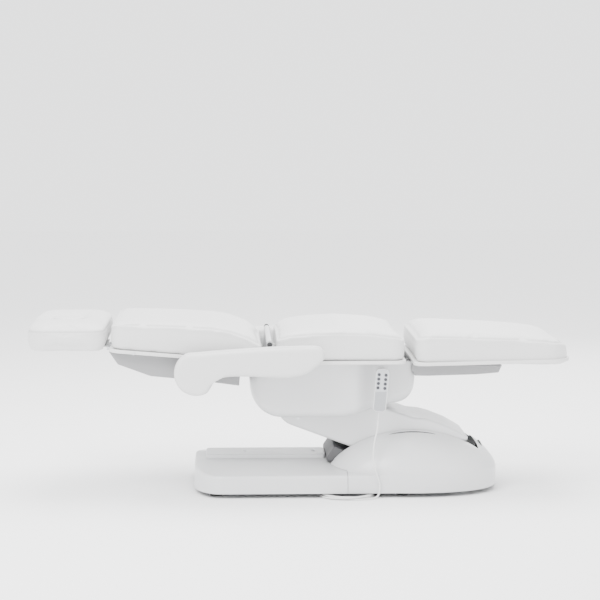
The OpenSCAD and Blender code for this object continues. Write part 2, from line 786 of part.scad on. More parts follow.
module back_frame() color(steel_grey) {
    y1 = back_y_in + bar_t;
    low = back_under - rail_h;
    pivot = swing(rest_pivot, back_hinge, -back_rake) - back_hinge;
    difference() {
        union() {
            pin(back_hinge, hinge_tube_r, 2 - y1, y1 - 2);
            both_sides() {
                pin(back_hinge, hinge_pin_r, y1 - 4, y1 + bar_t + 4);
                in_back() {
                    prism(back_y_in, y1) polygon([[-8, 2], [-11, low], [0, low], [8, 2]]);
                    block([-back_far + 26, back_y_in, low], [-9, y1, back_under - 0.3]);
                    prism(back_y_in, y1) polygon([pivot + [-34, 30], pivot + [-18, -12],
                        pivot + [18, -12], pivot + [34, 30]]);
                }
            }
            in_back() {
                for (x = [-back_far + 30, -back_far + 120, -220])
                    block([x, -back_y_in - 1, low + 1], [x + 24, back_y_in + 1, back_under - 0.8]);
                for (s = [-1, 1]) block([-back_far + 20, s * 70 - 14, back_under - 20],
                    [-back_far + 150, s * 70 + 14, back_under - 0.4]);
            }
            pin(rest_pivot, rest_pin_r, -rest_y1 + 13, rest_y1 - 13);
            prism(-side_act_y - lug_t / 2, lug_t / 2 - side_act_y) polygon([back_hinge + [-7, 4],
                back_hinge + [-7, -82], back_lug + [-14, -13], back_lug + [4, 11],
                back_hinge + [8, -75], back_hinge + [8, 4]]);
            pin(back_lug, 12, -side_act_y - lug_t / 2, lug_t / 2 - side_act_y);
        }
        pin(back_lug, act_pin_r, -side_act_y - 10, 10 - side_act_y);
        // Sockets for the headrest's bars
        in_back() for (s = [-1, 1]) block([-back_far + 10, s * 70 - 10.3, back_under - 16.3],
            [-back_far + 140, s * 70 + 10.3, back_under - 3.7]);
    }
}

module back_board() color("#5a4a3c") in_back() {
    translate([0, 0, back_under]) linear_extrude(board_t)
        rounded_rect(-back_far + 4, -back_near - 4, 4 - pad_w / 2, pad_w / 2 - 4, 20);
}

module back_cushion() color(leather_white) in_back() {
    z = back_under + board_t;
    f = -back_far;
    outline = [[f, z], [f, z + 60], [f + 12, z + 86], [f + 60, z + 96], [(f - back_near) / 2 - 40, z + 104],
        [-190, z + 104], [-137, z + 98], [-80, z + 76], [-45, z + 56], [-back_near - 1, z + 26],
        [-back_near, z]];
    intersection() {
        prism(-pad_w / 2, pad_w / 2) polygon(outline);
        translate([0, 0, -300]) linear_extrude(600)
            rounded_rect(f, -back_near, -pad_w / 2, pad_w / 2, pad_r);
    }
}

module back_cover() color(under_grey) in_back() {
    top = back_under - 0.6;
    f = -back_far + 6;
    e = -92;
    half = back_y_in + bar_t + 4;
    outer = [[f, top], [f + 34, top - 42], [f + 150, top - 74], [f + 350, top - 78],
        [e, top - 84], [e, top]];
    inner = [[f + 5, top + 1], [f + 37, top - 39], [f + 151, top - 71], [f + 350, top - 75],
        [e + 1, top - 81], [e + 1, top + 1]];
    pivot = swing(rest_pivot, back_hinge, -back_rake) - back_hinge;
    difference() {
        prism(-half, half) polygon(outer);
        prism(3 - half, half - 3) polygon(inner);
        both_sides() pin(pivot, rest_sleeve_r + 2, half - 10, half + 10);
        for (s = [-1, 1]) block([f - 2, s * 70 - 16, top - 26], [f + 60, s * 70 + 16, top + 1]);
    }
}

// ---------- Headrest ----------

head_hinge = from_back([-back_far - head_gap / 2, back_under - 10]);
head_z = back_hinge[1] - 24;
head_pin_r = 5;

module headrest_bracket() color("#b8bcc0") {
    in_back() for (s = [-1, 1])
        block([-back_far - head_gap / 2 - 7, s * 70 - 10, back_under - 16],
            [-back_far + 120, s * 70 + 10, back_under - 4]);
    pin(head_hinge, head_pin_r, -76, 76);
}

module headrest_plate() color(steel_grey) {
    difference() {
        union() {
            block([head_x1 - 190, -110, head_z - 3.5], [head_x1 - 6, 110, head_z - 0.1]);
            for (s = [-1, 1]) {
                pin(head_hinge, 9, s * 35 - 12, s * 35 + 12);
                prism(s * 35 - 12, s * 35 + 12) polygon([head_hinge + [-9, 0], head_hinge + [4, 0],
                    [head_x1 - 6, head_z - 1], [head_x1 - 30, head_z - 1]]);
            }
        }
        pin(head_hinge, head_pin_r + run_gap, -60, 60);
    }
}

module headrest_cushion() color(leather_white) {
    z = head_z;
    outline = [[head_x0, z + 24], [head_x0 + 14, z], [head_x1, z], [head_x1, z + 78], [head_x1 - 14, z + 94],
        [head_x1 - 60, z + head_t], [head_x0 + 60, z + head_t], [head_x0 + 16, z + 84], [head_x0, z + 58]];
    difference() {
        cushion(outline, head_x0, head_x1, pad_w / 2 - 8, 70);
        translate([head_x0 + head_len / 2 - 8, 0, z - 1]) cylinder(r = face_r, h = head_t + 2);
    }
}

module face_plug() color(leather_white) {
    translate([head_x0 + head_len / 2 - 8, 0, head_z + 8]) cylinder(r = face_r - face_gap, h = head_t - 8);
}

// ---------- Legrest ----------

leg_under = tub_top - 4;
leg_slope = 1.2;

module in_leg() {
    translate([leg_x0, 0, leg_under]) rotate([0, leg_slope, 0]) children();
}

module leg_frame() color(steel_grey) {
    beam = leg_hinge + [70, 46];
    difference() {
        union() {
            pin(leg_hinge, 24, -42, 42);
            pin(leg_hinge, leg_pin_r, -138, 138);
            both_sides() bar(leg_hinge, beam, 15, 24, 34);
            in_leg() {
                both_sides() block([8, 25, -24], [306, 33, -0.3]);
                for (x = [60, 250]) block([x, -180, -14], [x + 24, 180, -0.5]);
            }
            bar(leg_hinge, leg_lug, 12, side_act_y - lug_t / 2, side_act_y + lug_t / 2);
        }
        pin(leg_lug, act_pin_r, side_act_y - 10, side_act_y + 10);
    }
}

module leg_board() color("#5a4a3c") in_leg() {
    linear_extrude(board_t) rounded_rect(4, leg_len - 8, 4 - pad_w / 2, pad_w / 2 - 4, 30);
}

module leg_cushion() color(leather_white) in_leg() {
    z = board_t;
    outline = [[0, z], [0, z + 62], [14, z + 92], [50, z + 108], [leg_len * 0.4, z + 106],
        [leg_len - 150, z + 86], [leg_len - 50, z + 66], [leg_len - 14, z + 46], [leg_len - 0.5, z + 20],
        [leg_len - 0.5, z]];
    cushion_plan = [leg_len - 0.5, pad_w / 2];
    intersection() {
        prism(-pad_w / 2, pad_w / 2) polygon(outline);
        linear_extrude(300) {
            rounded_rect(0, cushion_plan[0] - 60, -cushion_plan[1], cushion_plan[1], pad_r);
            rounded_rect(60, cushion_plan[0], -cushion_plan[1], cushion_plan[1], 110);
        }
    }
}

module leg_cover() color(under_grey) {
    half = 200;
    len_x = 322;
    difference() {
        in_leg() difference() {
            prism(-half, half) polygon([[2, -0.6], [2, -44], [60, -44], [230, -36],
                [len_x - 12, -28], [len_x, -0.6]]);
            prism(3 - half, half - 3) polygon([[-1, 1], [-1, -41], [60, -41], [230, -33], [len_x - 15, -25],
                [len_x - 4, 1]]);
        }
        pin(leg_hinge, leg_end_r + 4, -half - 1, half + 1);
    }
}

// ---------- Armrests ----------

// Outline of an armrest: a drooping round end, a straight bar and a rounded tip
function rest_outline() = let (c = rest_pivot, tip = c[0] + rest_len, r = 32)
    concat(arc(c, rest_bulb, 115, 302, 14),
        [c + [60, -33], c + [88, -16], c + [150, -12], [tip - 200, c[1] - 14], [tip - 130, c[1] - 20],
            [tip - 66, c[1] - 4], [tip - 34, c[1] + 18]],
        arc([tip - r, c[1] + 65], r, -35, 90, 6),
        [[tip - 90, c[1] + 97], [tip - 200, c[1] + 93], c + [60, 80], c + [0, 73]]);

module armrest(s) color(leather_white) {
    y0 = s > 0 ? rest_y0 : -rest_y1;
    difference() {
        prism(y0, y0 + rest_w) polygon(rest_outline());
        pin(rest_pivot, rest_sleeve_r + run_gap,
            s > 0 ? rest_y0 - 1 : 12 - rest_y1, s > 0 ? rest_y1 - 12 : 1 - rest_y0);
    }
}

module armrest_right() armrest(-1);
module armrest_left() armrest(1);

module boss() {
    lever_y = link_y + link_t + 0.5;
    difference() {
        union() {
            pin(rest_pivot, rest_sleeve_r, back_y_in + bar_t + 1, rest_y1 - 13);
            bar(rest_pivot, rest_pivot + link_off, 9, lever_y, lever_y + lever_t);
            pin(rest_pivot + link_off, 4, link_y - 1, lever_y + 1);
        }
        pin(rest_pivot, rest_pin_r + run_gap, link_y - 100, rest_y1);
    }
}

module armrest_boss_left() color("#b8bcc0") boss();
module armrest_boss_right() color("#b8bcc0") mirror([0, 1, 0]) boss();

module level_link() {
    a = back_hinge + link_off;
    b = rest_pivot + link_off;
    difference() {
        bar(a, b, 8, link_y, link_y + link_t);
        pin(a, 5 + run_gap, link_y - 1, link_y + link_t + 1);
        pin(b, 4.5, link_y - 1, link_y + link_t + 1);
    }
}

module level_link_left() color(steel_grey) level_link();
module level_link_right() color(steel_grey) mirror([0, 1, 0]) level_link();

base_frame();
base_plate_cover();
ridge_cover();
dome_cover();
slot_liner();
front_shield();
levelling_feet();
cover_screws();
control_box();
mains_inlet();
lower_pivot_shaft();
cord_gland();
cord_tube();
cord_coil();
lift_arm();
arm_cover();
lift_motor();
lift_rod();
parallel_link();
carrier_head();
seat_frame();
seat_tub();
seat_board();
seat_cushion();
handset_hook();
handset_shell();
handset_face();
handset_relief();
button_1();
button_2();
button_3();
button_4();
button_5();
button_6();
button_7();
button_8();
back_motor();
back_rod();
leg_motor();
leg_rod();
tilt_motor();
tilt_rod();
back_frame();
back_cover();
back_board();
back_cushion();
headrest_bracket();
headrest_plate();
headrest_cushion();
face_plug();
leg_frame();
leg_cover();
leg_board();
leg_cushion();
armrest_boss_right();
armrest_boss_left();
armrest_right();
armrest_left();
level_link_right();
level_link_left();
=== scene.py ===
"""Looks of a facial treatment bed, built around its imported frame."""

import json
import math

import bpy
import numpy as np
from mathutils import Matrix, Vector


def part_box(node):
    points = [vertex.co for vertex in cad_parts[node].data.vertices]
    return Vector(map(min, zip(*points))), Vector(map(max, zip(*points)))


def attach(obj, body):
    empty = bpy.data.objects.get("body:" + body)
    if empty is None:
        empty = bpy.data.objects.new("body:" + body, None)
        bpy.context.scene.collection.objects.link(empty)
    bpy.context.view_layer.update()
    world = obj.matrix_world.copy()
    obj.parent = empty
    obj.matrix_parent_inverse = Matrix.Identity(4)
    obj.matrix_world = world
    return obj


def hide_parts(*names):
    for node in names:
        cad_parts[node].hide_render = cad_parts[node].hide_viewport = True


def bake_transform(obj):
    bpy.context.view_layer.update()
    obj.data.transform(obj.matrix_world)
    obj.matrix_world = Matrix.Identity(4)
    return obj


bl_info = {
    "name": "Facial treatment bed",
    "version": (1, 0, 0),
    "blender": (4, 5, 0),
    "location": "View3D > Sidebar > Treatment Bed",
    "description": "Upholstery, moulded covers, handset, cord and finishes of a facial treatment bed",
    "category": "Add Mesh",
}

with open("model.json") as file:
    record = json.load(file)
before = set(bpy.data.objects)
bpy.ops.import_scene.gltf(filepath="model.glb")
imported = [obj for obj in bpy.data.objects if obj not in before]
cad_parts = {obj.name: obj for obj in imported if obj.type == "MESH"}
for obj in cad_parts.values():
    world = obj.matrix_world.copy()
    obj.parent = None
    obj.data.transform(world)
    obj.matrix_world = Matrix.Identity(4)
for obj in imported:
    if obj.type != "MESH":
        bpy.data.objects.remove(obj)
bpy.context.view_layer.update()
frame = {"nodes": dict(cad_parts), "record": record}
RIGHT, LEFT = -1, 1
BACK_RISE = 4.7  # degrees that the back's board rises towards the head
LEG_FALL = 1.2  # degrees that the legrest's board falls towards the feet
HANDSET_LEAN = 5.0  # degrees that the handset leans on its hook
BOARD_THICKNESS = 0.0118
PAD_LIFT = 0.0008  # height that a pad's underside keeps above the cushion's lowest level
PLATE_SIDE = 0.079  # height of the base plate at its sides, where the dome starts too


def lo(node):
    """Lowest corner of a frame node, as an array."""
    return np.array(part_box(node)[0])


def hi(node):
    """Highest corner of a frame node, as an array."""
    return np.array(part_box(node)[1])


def pivot(joint):
    """Point of a frame joint in the side plane, as (x, z)."""
    point = next(j for j in frame["record"]["behaviour"]["joints"] if j["name"] == joint)["pos_m"]
    return np.array([point[0], point[2]])


# ---------- Sizes and colours ----------


class BedSizes(bpy.types.PropertyGroup):
    """Sizes of the soft and moulded pieces that a user would change."""

    pad_voxel: bpy.props.FloatProperty(
        name="Pad mesh size", description="Edge length of the mesh that a pad is blown up on",
        default=0.007, min=0.004, max=0.012, unit="LENGTH")
    pad_swell: bpy.props.FloatProperty(
        name="Pad swell", description="Furthest that the foam may push its cover out",
        default=0.007, min=0.0, max=0.016, unit="LENGTH")
    pad_pressure: bpy.props.FloatProperty(
        name="Pad pressure", description="Pressure inside a pad while its cover settles",
        default=4.0, min=0.5, max=10.0)
    seam_depth: bpy.props.FloatProperty(
        name="Seam depth", description="Depth of the groove along a sewn seam",
        default=0.0022, min=0.0, max=0.004, unit="LENGTH")
    cover_edge: bpy.props.FloatProperty(
        name="Cover edge radius", description="Radius of the outer edges of the moulded covers",
        default=0.012, min=0.004, max=0.02, unit="LENGTH")
    cover_wall: bpy.props.FloatProperty(
        name="Cover wall", description="Wall of the moulded covers",
        default=0.004, min=0.003, max=0.005, unit="LENGTH")
    cord_diameter: bpy.props.FloatProperty(
        name="Cord diameter", description="Diameter of the handset cord",
        default=0.006, min=0.005, max=0.007, unit="LENGTH")


class BedColours(bpy.types.PropertyGroup):
    """Colours of the visible finishes."""

    leather: bpy.props.FloatVectorProperty(
        name="Leather", description="Coated fabric of the pads", subtype="COLOR",
        default=(0.66, 0.66, 0.657), min=0, max=1)
    cover: bpy.props.FloatVectorProperty(
        name="Covers", description="Moulded covers of the base, arm and seat", subtype="COLOR",
        default=(0.62, 0.624, 0.63), min=0, max=1)
    under: bpy.props.FloatVectorProperty(
        name="Under covers", description="Matt covers under the back and legs", subtype="COLOR",
        default=(0.27, 0.27, 0.276), min=0, max=1)
    face: bpy.props.FloatVectorProperty(
        name="Handset face", description="Face plate of the handset", subtype="COLOR",
        default=(0.40, 0.41, 0.43), min=0, max=1)
    button: bpy.props.FloatVectorProperty(
        name="Buttons", description="Rubber buttons of the handset", subtype="COLOR",
        default=(0.035, 0.036, 0.042), min=0, max=1)
    steel: bpy.props.FloatVectorProperty(
        name="Painted steel", description="Powder-coated frame", subtype="COLOR",
        default=(0.42, 0.43, 0.45), min=0, max=1)


def sizes():
    """The sizes set on the scene."""
    return bpy.context.scene.bed_sizes


def colours():
    """The colours set on the scene."""
    return bpy.context.scene.bed_colours


# ---------- Shader expressions ----------


class Wire:
    """An output socket or a number, on which + - * / and ** add Math nodes."""

    def __init__(self, tree, socket):
        self.tree, self.socket = tree, socket

    def _math(self, operation, first, second):
        node = self.tree.add("ShaderNodeMath", {"operation": operation}, {0: first, 1: second})
        return node.out(0)

    def __add__(self, other):
        return self._math("ADD", self, other)

    def __radd__(self, other):
        return self._math("ADD", other, self)

    def __sub__(self, other):
        return self._math("SUBTRACT", self, other)

    def __rsub__(self, other):
        return self._math("SUBTRACT", other, self)

    def __mul__(self, other):
        return self._math("MULTIPLY", self, other)

    def __rmul__(self, other):
        return self._math("MULTIPLY", other, self)

    def __truediv__(self, other):
        return self._math("DIVIDE", self, other)

    def __pow__(self, other):
        return self._math("POWER", self, other)

    def above(self, limit):
        """1 where the value is greater than limit, else 0."""
        return self._math("GREATER_THAN", self, limit)


class Node:
    """A shader node, whose outputs are reached as wires."""

    def __init__(self, tree, node):
        self.tree, self.node = tree, node

    def out(self, name=0):
        return Wire(self.tree, self.node.outputs[name])


class Finish:
    """A material under construction, with its Principled shader."""

    def __init__(self, name):
        self.material = bpy.data.materials.new(name)
        self.material.use_nodes = True
        self.nodes = self.material.node_tree.nodes
        self.links = self.material.node_tree.links
        self.shader = next(n for n in self.nodes if n.type == "BSDF_PRINCIPLED")
        self.place = self.add("ShaderNodeTexCoord").out("Object")

    def add(self, kind, settings=None, values=None):
        """Adds a node of a kind, sets its settings first and then its sockets' values or links."""
        node = self.nodes.new(kind)
        for key, value in (settings or {}).items():
            if key == "stops":
                ramp = node.color_ramp
                while len(ramp.elements) < len(value):
                    ramp.elements.new(0.5)
                for element, (position, shade) in zip(ramp.elements, value):
                    element.position = position
                    element.color = (*shade, 1) if isinstance(shade, tuple) else (shade, shade, shade, 1)
            else:
                setattr(node, key, value)
        for key, value in (values or {}).items():
            self.feed(node.inputs[key], value)
        return Node(self, node)

    def feed(self, socket, value):
        """Links a wire to a socket, or sets the socket's own value."""
        if isinstance(value, Wire):
            self.links.new(value.socket, socket)
        elif isinstance(value, (tuple, list)) and len(value) == 3 and socket.type == "RGBA":
            socket.default_value = (*value, 1)
        else:
            socket.default_value = value

    def set(self, **values):
        """Sets or links the shader's sockets, named with underscores for spaces."""
        for key, value in values.items():
            self.feed(self.shader.inputs[key.replace("_", " ")], value)
        return self

    def noise(self, scale, detail=3.0, roughness=0.5, stretch=(1, 1, 1)):
        """Soft noise in object space, with scale in cells a metre and a stretch for each axis."""
        where = self.add("ShaderNodeMapping", None, {"Vector": self.place, "Scale": stretch}).out()
        return self.add("ShaderNodeTexNoise", None, {
            "Vector": where, "Scale": scale, "Detail": detail, "Roughness": roughness}).out(0)

    def cells(self, scale, feature="F1"):
        """Distance to the nearest cell centre of a random cell pattern."""
        return self.add("ShaderNodeTexVoronoi", {"feature": feature}, {
            "Vector": self.place, "Scale": scale}).out("Distance")

    def attribute(self, name):
        """A value painted on the piece's points."""
        return self.add("ShaderNodeAttribute", {"attribute_name": name}).out("Fac")

    def axis(self, name):
        """One of the X, Y and Z values of the place on the object."""
        return self.add("ShaderNodeSeparateXYZ", None, {0: self.place}).out(name)

    def wave(self, value):
        """Sine of a value."""
        return self.add("ShaderNodeMath", {"operation": "SINE"}, {0: value}).out()

    def blend(self, share, first, second):
        """Mix of two colours by a share."""
        node = self.nodes.new("ShaderNodeMix")
        node.data_type = "RGBA"
        for place, value in ((0, share), (6, first), (7, second)):
            self.feed(node.inputs[place], value)
        return Wire(self, node.outputs[2])

    def relief(self, height, distance, strength=1.0):
        """Bump from a height between 0 and 1 that stands for a distance in metres."""
        bump = self.add("ShaderNodeBump", None, {
            "Height": height, "Distance": distance, "Strength": strength}).out()
        return self.set(Normal=bump)


def shade(colour, factor):
    """A colour made darker or lighter by a factor."""
    return tuple(min(1.0, c * factor) for c in colour)


def leather_finish():
    """Coated fabric: fine pebble grain, soft mottling, and painted shade that darkens the seam grooves.
    """
    f = Finish("soft_white_leather")
    base = tuple(colours().leather)
    mottle = f.noise(9, 4, 0.6)
    seam = f.attribute("seam")
    warm = f.blend(mottle * 0.5, shade(base, 1.02), shade(base, 0.955))
    grain = f.cells(620) * 0.75 + f.noise(900, 2) * 0.35
    creases = f.noise(34, 5, 0.62, (1, 1, 2.2))
    # the base colour darkens along the seam groove mask: painted shade in the groove
    f.set(Base_Color=f.blend(seam * 0.55, warm, shade(base, 0.62)),
          Roughness=0.40 + f.noise(60, 3) * 0.16 + seam * 0.15,
          Coat_Weight=0.12 - seam * 0.1)
    f.shader.inputs["Coat Roughness"].default_value = 0.35
    f.shader.inputs["Sheen Weight"].default_value = 0.05
    return f.relief(grain * 0.7 + creases * 1.6, 0.00045, 0.45)


def cover_finish(name="moulded_white_cover", tint=None, gloss=0.26, coat=0.28, texture=0.05):
    """Moulded plastic: faint flow marks, orange-peel relief and light handling wear."""
    f = Finish(name)
    base = tuple(tint if tint is not None else colours().cover)
    flow = f.noise(5, 3, 0.55, (1, 1, 1.6))
    handled = f.noise(26, 5, 0.7)
    f.set(Base_Color=f.blend(flow * 0.6, shade(base, 1.015), shade(base, 0.965)),
          Roughness=gloss + handled * 0.12 + f.noise(140, 2) * 0.05,
          Coat_Weight=coat - handled * 0.1)
    f.shader.inputs["Coat Roughness"].default_value = 0.12
    return f.relief(f.noise(240, 3) + f.cells(800) * 0.3, 0.0003, texture)


def under_finish():
    """Matt moulded underside: fine spark-eroded texture."""
    return cover_finish("matt_grey_under_cover", colours().under, 0.52, 0.05, 0.35)


def shield_painted_shade_finish():
    """Grey cover before the slot, coloured near black as painted shade, with the same texture."""
    return cover_finish("dark_grey_shield", (0.075, 0.075, 0.078), 0.5, 0.05, 0.35)


def black_finish():
    """Black moulded plastic with a fine grain."""
    return cover_finish("black_moulded_plastic", (0.018, 0.018, 0.02), 0.42, 0.1, 0.3)


def paint_finish(name="powder_coated_steel", tint=None):
    """Powder coat: rounded orange-peel relief, with a hint of metal at worn high spots."""
    f = Finish(name)
    base = tuple(tint if tint is not None else colours().steel)
    peel = f.cells(300, "SMOOTH_F1")
    f.set(Base_Color=f.blend(f.noise(14, 4) * 0.5, base, shade(base, 0.9)),
          Roughness=0.38 + f.noise(90) * 0.14, Metallic=0.15 + (f.noise(40, 6).above(0.74)) * 0.3,
          Coat_Weight=0.18 - f.noise(30) * 0.08)
    return f.relief(peel, 0.0004, 0.25)


def steel_finish():
    """Drawn steel: long fine lines along the part."""
    f = Finish("drawn_steel")
    lines = f.noise(90, 4, 0.7, (0.6, 12, 12))
    f.set(Base_Color=f.blend(lines, (0.72, 0.73, 0.75), (0.56, 0.57, 0.60)), Metallic=1.0,
          Roughness=0.2 + lines * 0.2)
    return f.relief(lines, 0.0001, 0.3)


def rubber_finish():
    """Matt rubber with a dusty bloom."""
    f = Finish("foot_rubber")
    bloom = f.noise(50, 5, 0.65)
    f.set(Base_Color=f.blend(bloom * 0.6, (0.02, 0.02, 0.021), (0.07, 0.068, 0.064)),
          Roughness=0.66 + bloom * 0.2)
    return f.relief(f.noise(500, 2), 0.0003, 0.4)


def laminate_finish():
    """White laminate over plywood: the veneers and the grain show through it only faintly."""
    f = Finish("white_laminated_board")
    height = f.axis("Z")
    plies = f.wave(height * 2600) * 0.5 + 0.5
    grain = f.noise(30, 6, 0.65, (0.5, 9, 9))
    white = f.blend(grain * 0.5, (0.70, 0.70, 0.695), (0.64, 0.64, 0.632))
    f.set(Base_Color=f.blend(plies * 0.06, white, (0.6, 0.58, 0.55)), Roughness=0.34 + grain * 0.16)
    return f.relief(grain + plies * 0.4, 0.0002, 0.25)


def face_finish():
    """Handset face: satin film with a paler field behind the buttons."""
    f = Finish("handset_face_film")
    base = tuple(colours().face)
    upper = f.axis("Z").above(float(lo("button_8")[2]) - 0.006)
    f.set(Base_Color=f.blend(upper, shade(base, 0.82), shade(base, 1.22)),
          Roughness=0.36 + f.noise(300, 2) * 0.12, Coat_Weight=0.1 + f.noise(8) * 0.05)
    return f.relief(f.cells(1400), 0.0001, 0.2)


def button_finish():
    """Dark rubber buttons, a little polished where they are pressed."""
    f = Finish("button_rubber")
    base = tuple(colours().button)
    rub = f.noise(160, 3)
    f.set(Base_Color=f.blend(rub * 0.6, base, shade(base, 1.9)), Roughness=0.38 + rub * 0.25)
    return f.relief(f.noise(1200, 2), 0.0001, 0.35)


def cord_finish():
    """Flexible white sheath with a faint twist under it."""
    f = Finish("cord_sheath")
    along = f.attribute("along")
    twist = f.wave(along * 420 + f.attribute("around") * 6.2832) * 0.5 + 0.5
    scuff = f.noise(40, 4)
    f.set(Base_Color=f.blend(scuff * 0.5, (0.74, 0.74, 0.735), (0.64, 0.64, 0.632)),
          Roughness=0.42 + scuff * 0.14)
    return f.relief(twist, 0.0003, 0.25)


def lamp_finish(name, tint):
    """Small lamp lens: tinted, with fine random mottling and a glossy coat."""
    f = Finish(name)
    f.set(Base_Color=f.blend(f.noise(900, 2), tint, shade(tint, 0.8)),
          Roughness=0.18 + f.noise(700) * 0.05, Coat_Weight=0.6 - f.noise(500) * 0.1)
    return f


FINISHES = {
    "white_leather": leather_finish, "white_cover": cover_finish, "grey_cover": under_finish,
    "black_plastic": black_finish, "painted_steel": paint_finish, "bright_steel": steel_finish,
    "rubber_feet": rubber_finish, "board": laminate_finish, "handset_grey": face_finish,
    "button_dark": button_finish, "cord_white": cord_finish,
    "white_steel": lambda: paint_finish("white_powder_coat", shade(tuple(colours().cover), 0.97)),
}
made = {}


def finish_for(slot):
    """The material of a material slot, made once."""
    if slot not in made:
        made[slot] = FINISHES[slot]().material
    return made[slot]


# ---------- Surfaces ----------


def new_piece(name, points, faces):
    """Puts points and faces into a new mesh object at the origin."""
    mesh = bpy.data.meshes.new(name)
    mesh.from_pydata(np.asarray(points, float).reshape(-1, 3).tolist(), [], faces)
    mesh.validate()
    piece = bpy.data.objects.new(name, mesh)
    bpy.context.collection.objects.link(piece)
    return piece


def lattice(rows, columns, wrap_rows=False, wrap_columns=True):
    """Faces of a grid: each cell joins a point to the next in its row and in the next row."""
    r = np.arange(rows if wrap_rows else rows - 1)[:, None]
    c = np.arange(columns if wrap_columns else columns - 1)[None, :]
    r1, c1 = (r + 1) % rows, (c + 1) % columns
    quads = np.stack([r * columns + c, r * columns + c1, r1 * columns + c1, r1 * columns + c], -1)
    return quads.reshape(-1, 4).tolist()


def closed_skin(name, grid, wrap_rows=False):
    """Closed surface from rings of points: rings are joined in order and the end rings are capped."""
    rows, columns = grid.shape[:2]
    faces = lattice(rows, columns, wrap_rows)
    if not wrap_rows:
        faces.append(list(range(columns))[::-1])
        faces.append([(rows - 1) * columns + i for i in range(columns)])
    piece = new_piece(name, grid, faces)
    outward(piece)
    return piece


def outward(piece):
    """Turns a closed surface's faces to the outside by the sign of its volume."""
    mesh = piece.data
    mesh.calc_loop_triangles()
    corners = np.zeros(len(mesh.loop_triangles) * 3, int)
    mesh.loop_triangles.foreach_get("vertices", corners)
    points = coordinates(piece)[corners.reshape(-1, 3)]
    volume = np.einsum("ij,ij->i", points[:, 0], np.cross(points[:, 1], points[:, 2])).sum()
    if volume < 0:
        mesh.flip_normals()


def coordinates(piece):
    """The piece's points as an array."""
    flat = np.zeros(len(piece.data.vertices) * 3)
    piece.data.vertices.foreach_get("co", flat)
    return flat.reshape(-1, 3)


def move_points(piece, points):
    """Writes changed points back to the piece."""
    piece.data.vertices.foreach_set("co", np.asarray(points, float).ravel())
    piece.data.update()


def point_normals(piece):
    """The piece's normals at its points."""
    flat = np.zeros(len(piece.data.vertices) * 3)
    piece.data.vertex_normals.foreach_get("vector", flat)
    return flat.reshape(-1, 3)


def paint(piece, name, values):
    """Stores a value for each point of the piece, for its material."""
    layer = piece.data.attributes.get(name) or piece.data.attributes.new(name, "FLOAT", "POINT")
    layer.data.foreach_set("value", np.asarray(values, np.float32))


def smooth_sides(piece, angle=32):
    """Shades smooth across edges flatter than an angle."""
    piece.data.shade_smooth()
    piece.data.set_sharp_from_angle(angle=math.radians(angle))


def bake(piece):
    """Applies the piece's modifiers."""
    bpy.context.view_layer.update()
    result = piece.evaluated_get(bpy.context.evaluated_depsgraph_get())
    mesh = bpy.data.meshes.new_from_object(result)
    piece.modifiers.clear()
    old, piece.data = piece.data, mesh
    bpy.data.meshes.remove(old)


def combine(piece, others, operation="DIFFERENCE"):
    """Cuts the other closed surfaces from a piece, or joins them to it, and deletes them."""
    for other in others:
        step = piece.modifiers.new("combine", "BOOLEAN")
        step.operation, step.solver, step.object = operation, "EXACT", other
        bake(piece)
        bpy.data.objects.remove(other)
    return piece


def soften(piece, width, segments=2, angle=40):
    """Rounds the piece's sharp edges with a bevel of a width."""
    step = piece.modifiers.new("edges", "BEVEL")
    step.width, step.segments, step.limit_method = width, segments, "ANGLE"
    step.angle_limit = math.radians(angle)
    bake(piece)
    return piece


def brick(low, high):
    """Box between two corners, as a closed surface for cutting."""
    low, high = np.asarray(low, float), np.asarray(high, float)
    ring = np.array([[0, 0], [1, 0], [1, 1], [0, 1]], float)
    grid = np.stack([np.column_stack([ring, np.full(4, z)]) for z in (0.0, 1.0)])
    return closed_skin("cut", low + grid * (high - low))


def arc(centre, radius, start, end, count):
    """Points of a circle's arc between two angles in degrees."""
    a = np.radians(np.linspace(start, end, count))
    return np.asarray(centre) + np.asarray(radius) * np.column_stack([np.cos(a), np.sin(a)])


def fair(outline, rounds=3):
    """Closed outline with its corners cut: each round puts points a quarter in from both ends of
    each side."""
    points = np.asarray(outline, float)
    for _ in range(rounds):
        after = np.roll(points, -1, 0)
        points = np.stack([0.75 * points + 0.25 * after, 0.25 * points + 0.75 * after], 1).reshape(-1, 2)
    return points


def evenly(outline, step):
    """Closed outline's points spread evenly along its length."""
    loop = np.vstack([outline, outline[:1]])
    length = np.concatenate([[0], np.cumsum(np.linalg.norm(np.diff(loop, axis=0), axis=1))])
    at = np.linspace(0, length[-1], max(12, int(length[-1] / step)), endpoint=False)
    return np.column_stack([np.interp(at, length, loop[:, i]) for i in (0, 1)])


def inset(outline, distance):
    """Outline moved inwards by a distance along the normals of its chords. Points that end up nearer
    than that to the outline, as at a corner, are put evenly between the sound points beside them."""
    chord = np.roll(outline, -1, 0) - np.roll(outline, 1, 0)
    normal = np.column_stack([-chord[:, 1], chord[:, 0]])
    normal /= np.linalg.norm(normal, axis=1)[:, None] + 1e-12
    area = np.sum(outline[:, 0] * np.roll(outline[:, 1], -1) - np.roll(outline[:, 0], -1) * outline[:, 1])
    moved = outline + normal * distance * np.sign(area)
    gap = np.linalg.norm(moved[:, None] - outline[None], axis=2).min(1)
    sound = np.flatnonzero(gap > abs(distance) * 0.97)
    if len(sound) < 3:
        return moved
    index = np.arange(len(outline))
    return np.column_stack([
        np.interp(index, sound, moved[sound, i], period=len(outline)) for i in (0, 1)])


